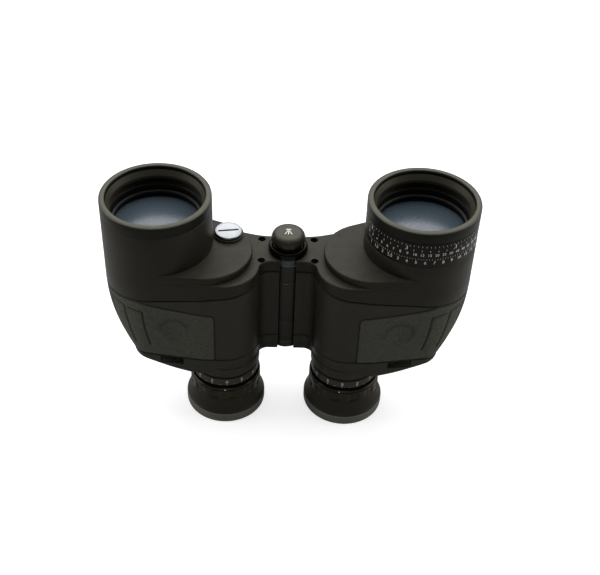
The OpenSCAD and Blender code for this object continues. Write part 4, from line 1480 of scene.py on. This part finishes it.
def pressIn(obj, at, turn, radius, level, keep=0.12, draw=0.45):
    # sinks the skin under a round part towards a level along its axis, keeping a little of its
    # thickness, and draws the edge of the dent in to a clean circle
    a = math.radians(turn)
    axis = Vector((-math.sin(a), math.cos(a), 0))
    start = Vector(at) * 0.001
    for vert in obj.data.vertices:
        away = vert.co - start
        along = away.dot(axis)
        side = away - axis * along
        if along < level * 0.001 or side.length > (radius + draw) * 0.001:
            continue
        if side.length < radius * 0.001:
            vert.co -= axis * (along - level * 0.001) * (1 - keep)
        else:
            vert.co -= side * (1 - radius * 0.001 / side.length)


def buildCompass():
    s = compassShape
    bezel = meshObject("compassBezel", *outwards(turned(s["bezel"], (0, 0), 96), s["at"], s["turn"]))
    finishMesh(bezel, bezelPlastic, "left_barrel", nodes=("compass_bezel",), sharp=28)
    window = meshObject("compassWindow", *outwards(turned(s["window"], (0, 0), 96), s["at"], s["turn"]))
    finishMesh(window, frostedWindow, "left_barrel", nodes=("compass_window",), sharp=28)
    at = (s["at"][0] + 21.2, 0.0, s["at"][2])
    button = meshObject("lightButton", *outwards(turned(s["button"], (0, 0), 72), at, 0.0))
    finishMesh(button, buttonRed, "button", nodes=("light_button",), sharp=28)
    for name in ("leftArmour", "leftGripPad", "leftCasting"):
        pressIn(bpy.data.objects[name], s["at"], s["turn"], *s["windowDent"])
        pressIn(bpy.data.objects[name], at, 0.0, *s["buttonDent"])


buildCompass()
print("compass done")


# ---- finishes for the parts that keep their own shape ----

keptFinish = {
    "prism_lower": prismGlass, "prism_upper": prismGlass, "prism_shelf": alloy, "eyepiece_tube": tubeBlack,
    "ocular_carrier": tubeBlack, "field_lens": coatedLens, "eye_lens": coatedLens,
    "battery_cell": steel, "battery_contact": brass, "battery_seal": sealRubber, "tripod_seal": sealRubber,
    "compass_capsule": capsuleWhite, "hinge_axle": steel, "hinge_washers": washerNylon,
}
for name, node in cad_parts.items():
    key = name.split("_", 1)[1] if name.split("_", 1)[0] in sides else name
    if key in keptFinish:
        for slot in node.material_slots:
            slot.material = keptFinish[key]


# ---- floor, light and camera ----

setShape = {
    "worldStrength": 0.12,
    "topLight": 42.0,
    "sideLight": 7.0,
    "frontLight": 1.2,
    "floorGlow": 0.68,
    "lens": 63.908,
    "shift": (0.0740, -0.0083),
    "eye": (-9.539, -474.261, 491.204),
    "yaw": -1.0816,
    "pitch": 40.6801,
    "roll": 0.4306,
}


def buildFloor():
    s = 6.0
    v = [(-s, -s, 0), (s, -s, 0), (s, s, 0), (-s, s, 0)]
    mesh = bpy.data.meshes.new("floor")
    mesh.from_pydata(v, [], [(0, 1, 2, 3)])
    floor = bpy.data.objects.new("floor", mesh)
    bpy.context.collection.objects.link(floor)
    mat = bpy.data.materials.new("palePaper")
    mat.use_nodes = True
    n, l = mat.node_tree.nodes, mat.node_tree.links
    bsdf = n["Principled BSDF"]
    tex = n.new("ShaderNodeTexCoord")
    noise = n.new("ShaderNodeTexNoise")
    noise.inputs["Scale"].default_value = 40
    l.new(tex.outputs["Object"], noise.inputs["Vector"])
    rough = n.new("ShaderNodeMapRange")
    rough.inputs["To Min"].default_value = 0.75
    rough.inputs["To Max"].default_value = 0.9
    l.new(noise.outputs["Fac"], rough.inputs["Value"])
    l.new(rough.outputs["Result"], bsdf.inputs["Roughness"])
    bsdf.inputs["Base Color"].default_value = (0.50, 0.503, 0.506, 1)
    bsdf.inputs["Specular IOR Level"].default_value = 0.1
    # seen straight on, the paper is lit a little from behind, as on a light table
    path = n.new("ShaderNodeLightPath")
    bsdf.inputs["Emission Color"].default_value = (1, 1, 1, 1)
    glow = mathNode(n, l, "MULTIPLY", path.outputs["Is Camera Ray"], setShape["floorGlow"])
    l.new(glow, bsdf.inputs["Emission Strength"])
    mesh.materials.append(mat)


def areaLight(name, at, aim, size, power):
    data = bpy.data.lights.new(name, "AREA")
    data.shape = "RECTANGLE"
    data.size, data.size_y = size
    data.energy = power
    obj = bpy.data.objects.new(name, data)
    obj.location = at
    obj.rotation_euler = (Vector(aim) - Vector(at)).to_track_quat("-Z", "Y").to_euler()
    bpy.context.collection.objects.link(obj)


def buildStage():
    s = setShape
    buildFloor()
    world = bpy.data.worlds.new("room")
    bpy.context.scene.world = world
    bpy.context.scene.view_settings.view_transform = "Standard"
    world.use_nodes = True
    back = world.node_tree.nodes["Background"]
    back.inputs["Color"].default_value = (1.0, 1.0, 1.0, 1)
    back.inputs["Strength"].default_value = s["worldStrength"]
    areaLight("topSoft", (0, 0.75, 1.35), (0, 0.1, 0.05), (2.2, 1.9), s["topLight"])
    areaLight("leftSoft", (-1.1, 0.1, 0.5), (0, 0, 0.08), (0.9, 0.9), s["sideLight"])
    areaLight("rightSoft", (1.1, 0.1, 0.5), (0, 0, 0.08), (0.9, 0.9), s["sideLight"])
    areaLight("frontSoft", (0, -0.9, 1.1), (0, 0, 0.06), (0.6, 0.4), s["frontLight"])
    yaw, pitch, roll = (math.radians(s[k]) for k in ("yaw", "pitch", "roll"))
    ahead = Vector((math.sin(yaw) * math.cos(pitch), math.cos(yaw) * math.cos(pitch), -math.sin(pitch)))
    right = Vector((math.cos(yaw), -math.sin(yaw), 0))
    up = right.cross(ahead)
    r2 = math.cos(roll) * right + math.sin(roll) * up
    u2 = -math.sin(roll) * right + math.cos(roll) * up
    data = bpy.data.cameras.new("camera")
    data.sensor_width = 36.0
    data.lens = s["lens"]
    data.shift_x, data.shift_y = s["shift"]
    data.clip_start = 0.01
    cam = bpy.data.objects.new("camera", data)
    eye = Vector(s["eye"]) * 0.001
    cam.matrix_world = Matrix(((r2.x, u2.x, -ahead.x, eye.x), (r2.y, u2.y, -ahead.y, eye.y),
                               (r2.z, u2.z, -ahead.z, eye.z), (0, 0, 0, 1)))
    bpy.context.collection.objects.link(cam)
    bpy.context.scene.camera = cam


buildStage()
print("stage done")
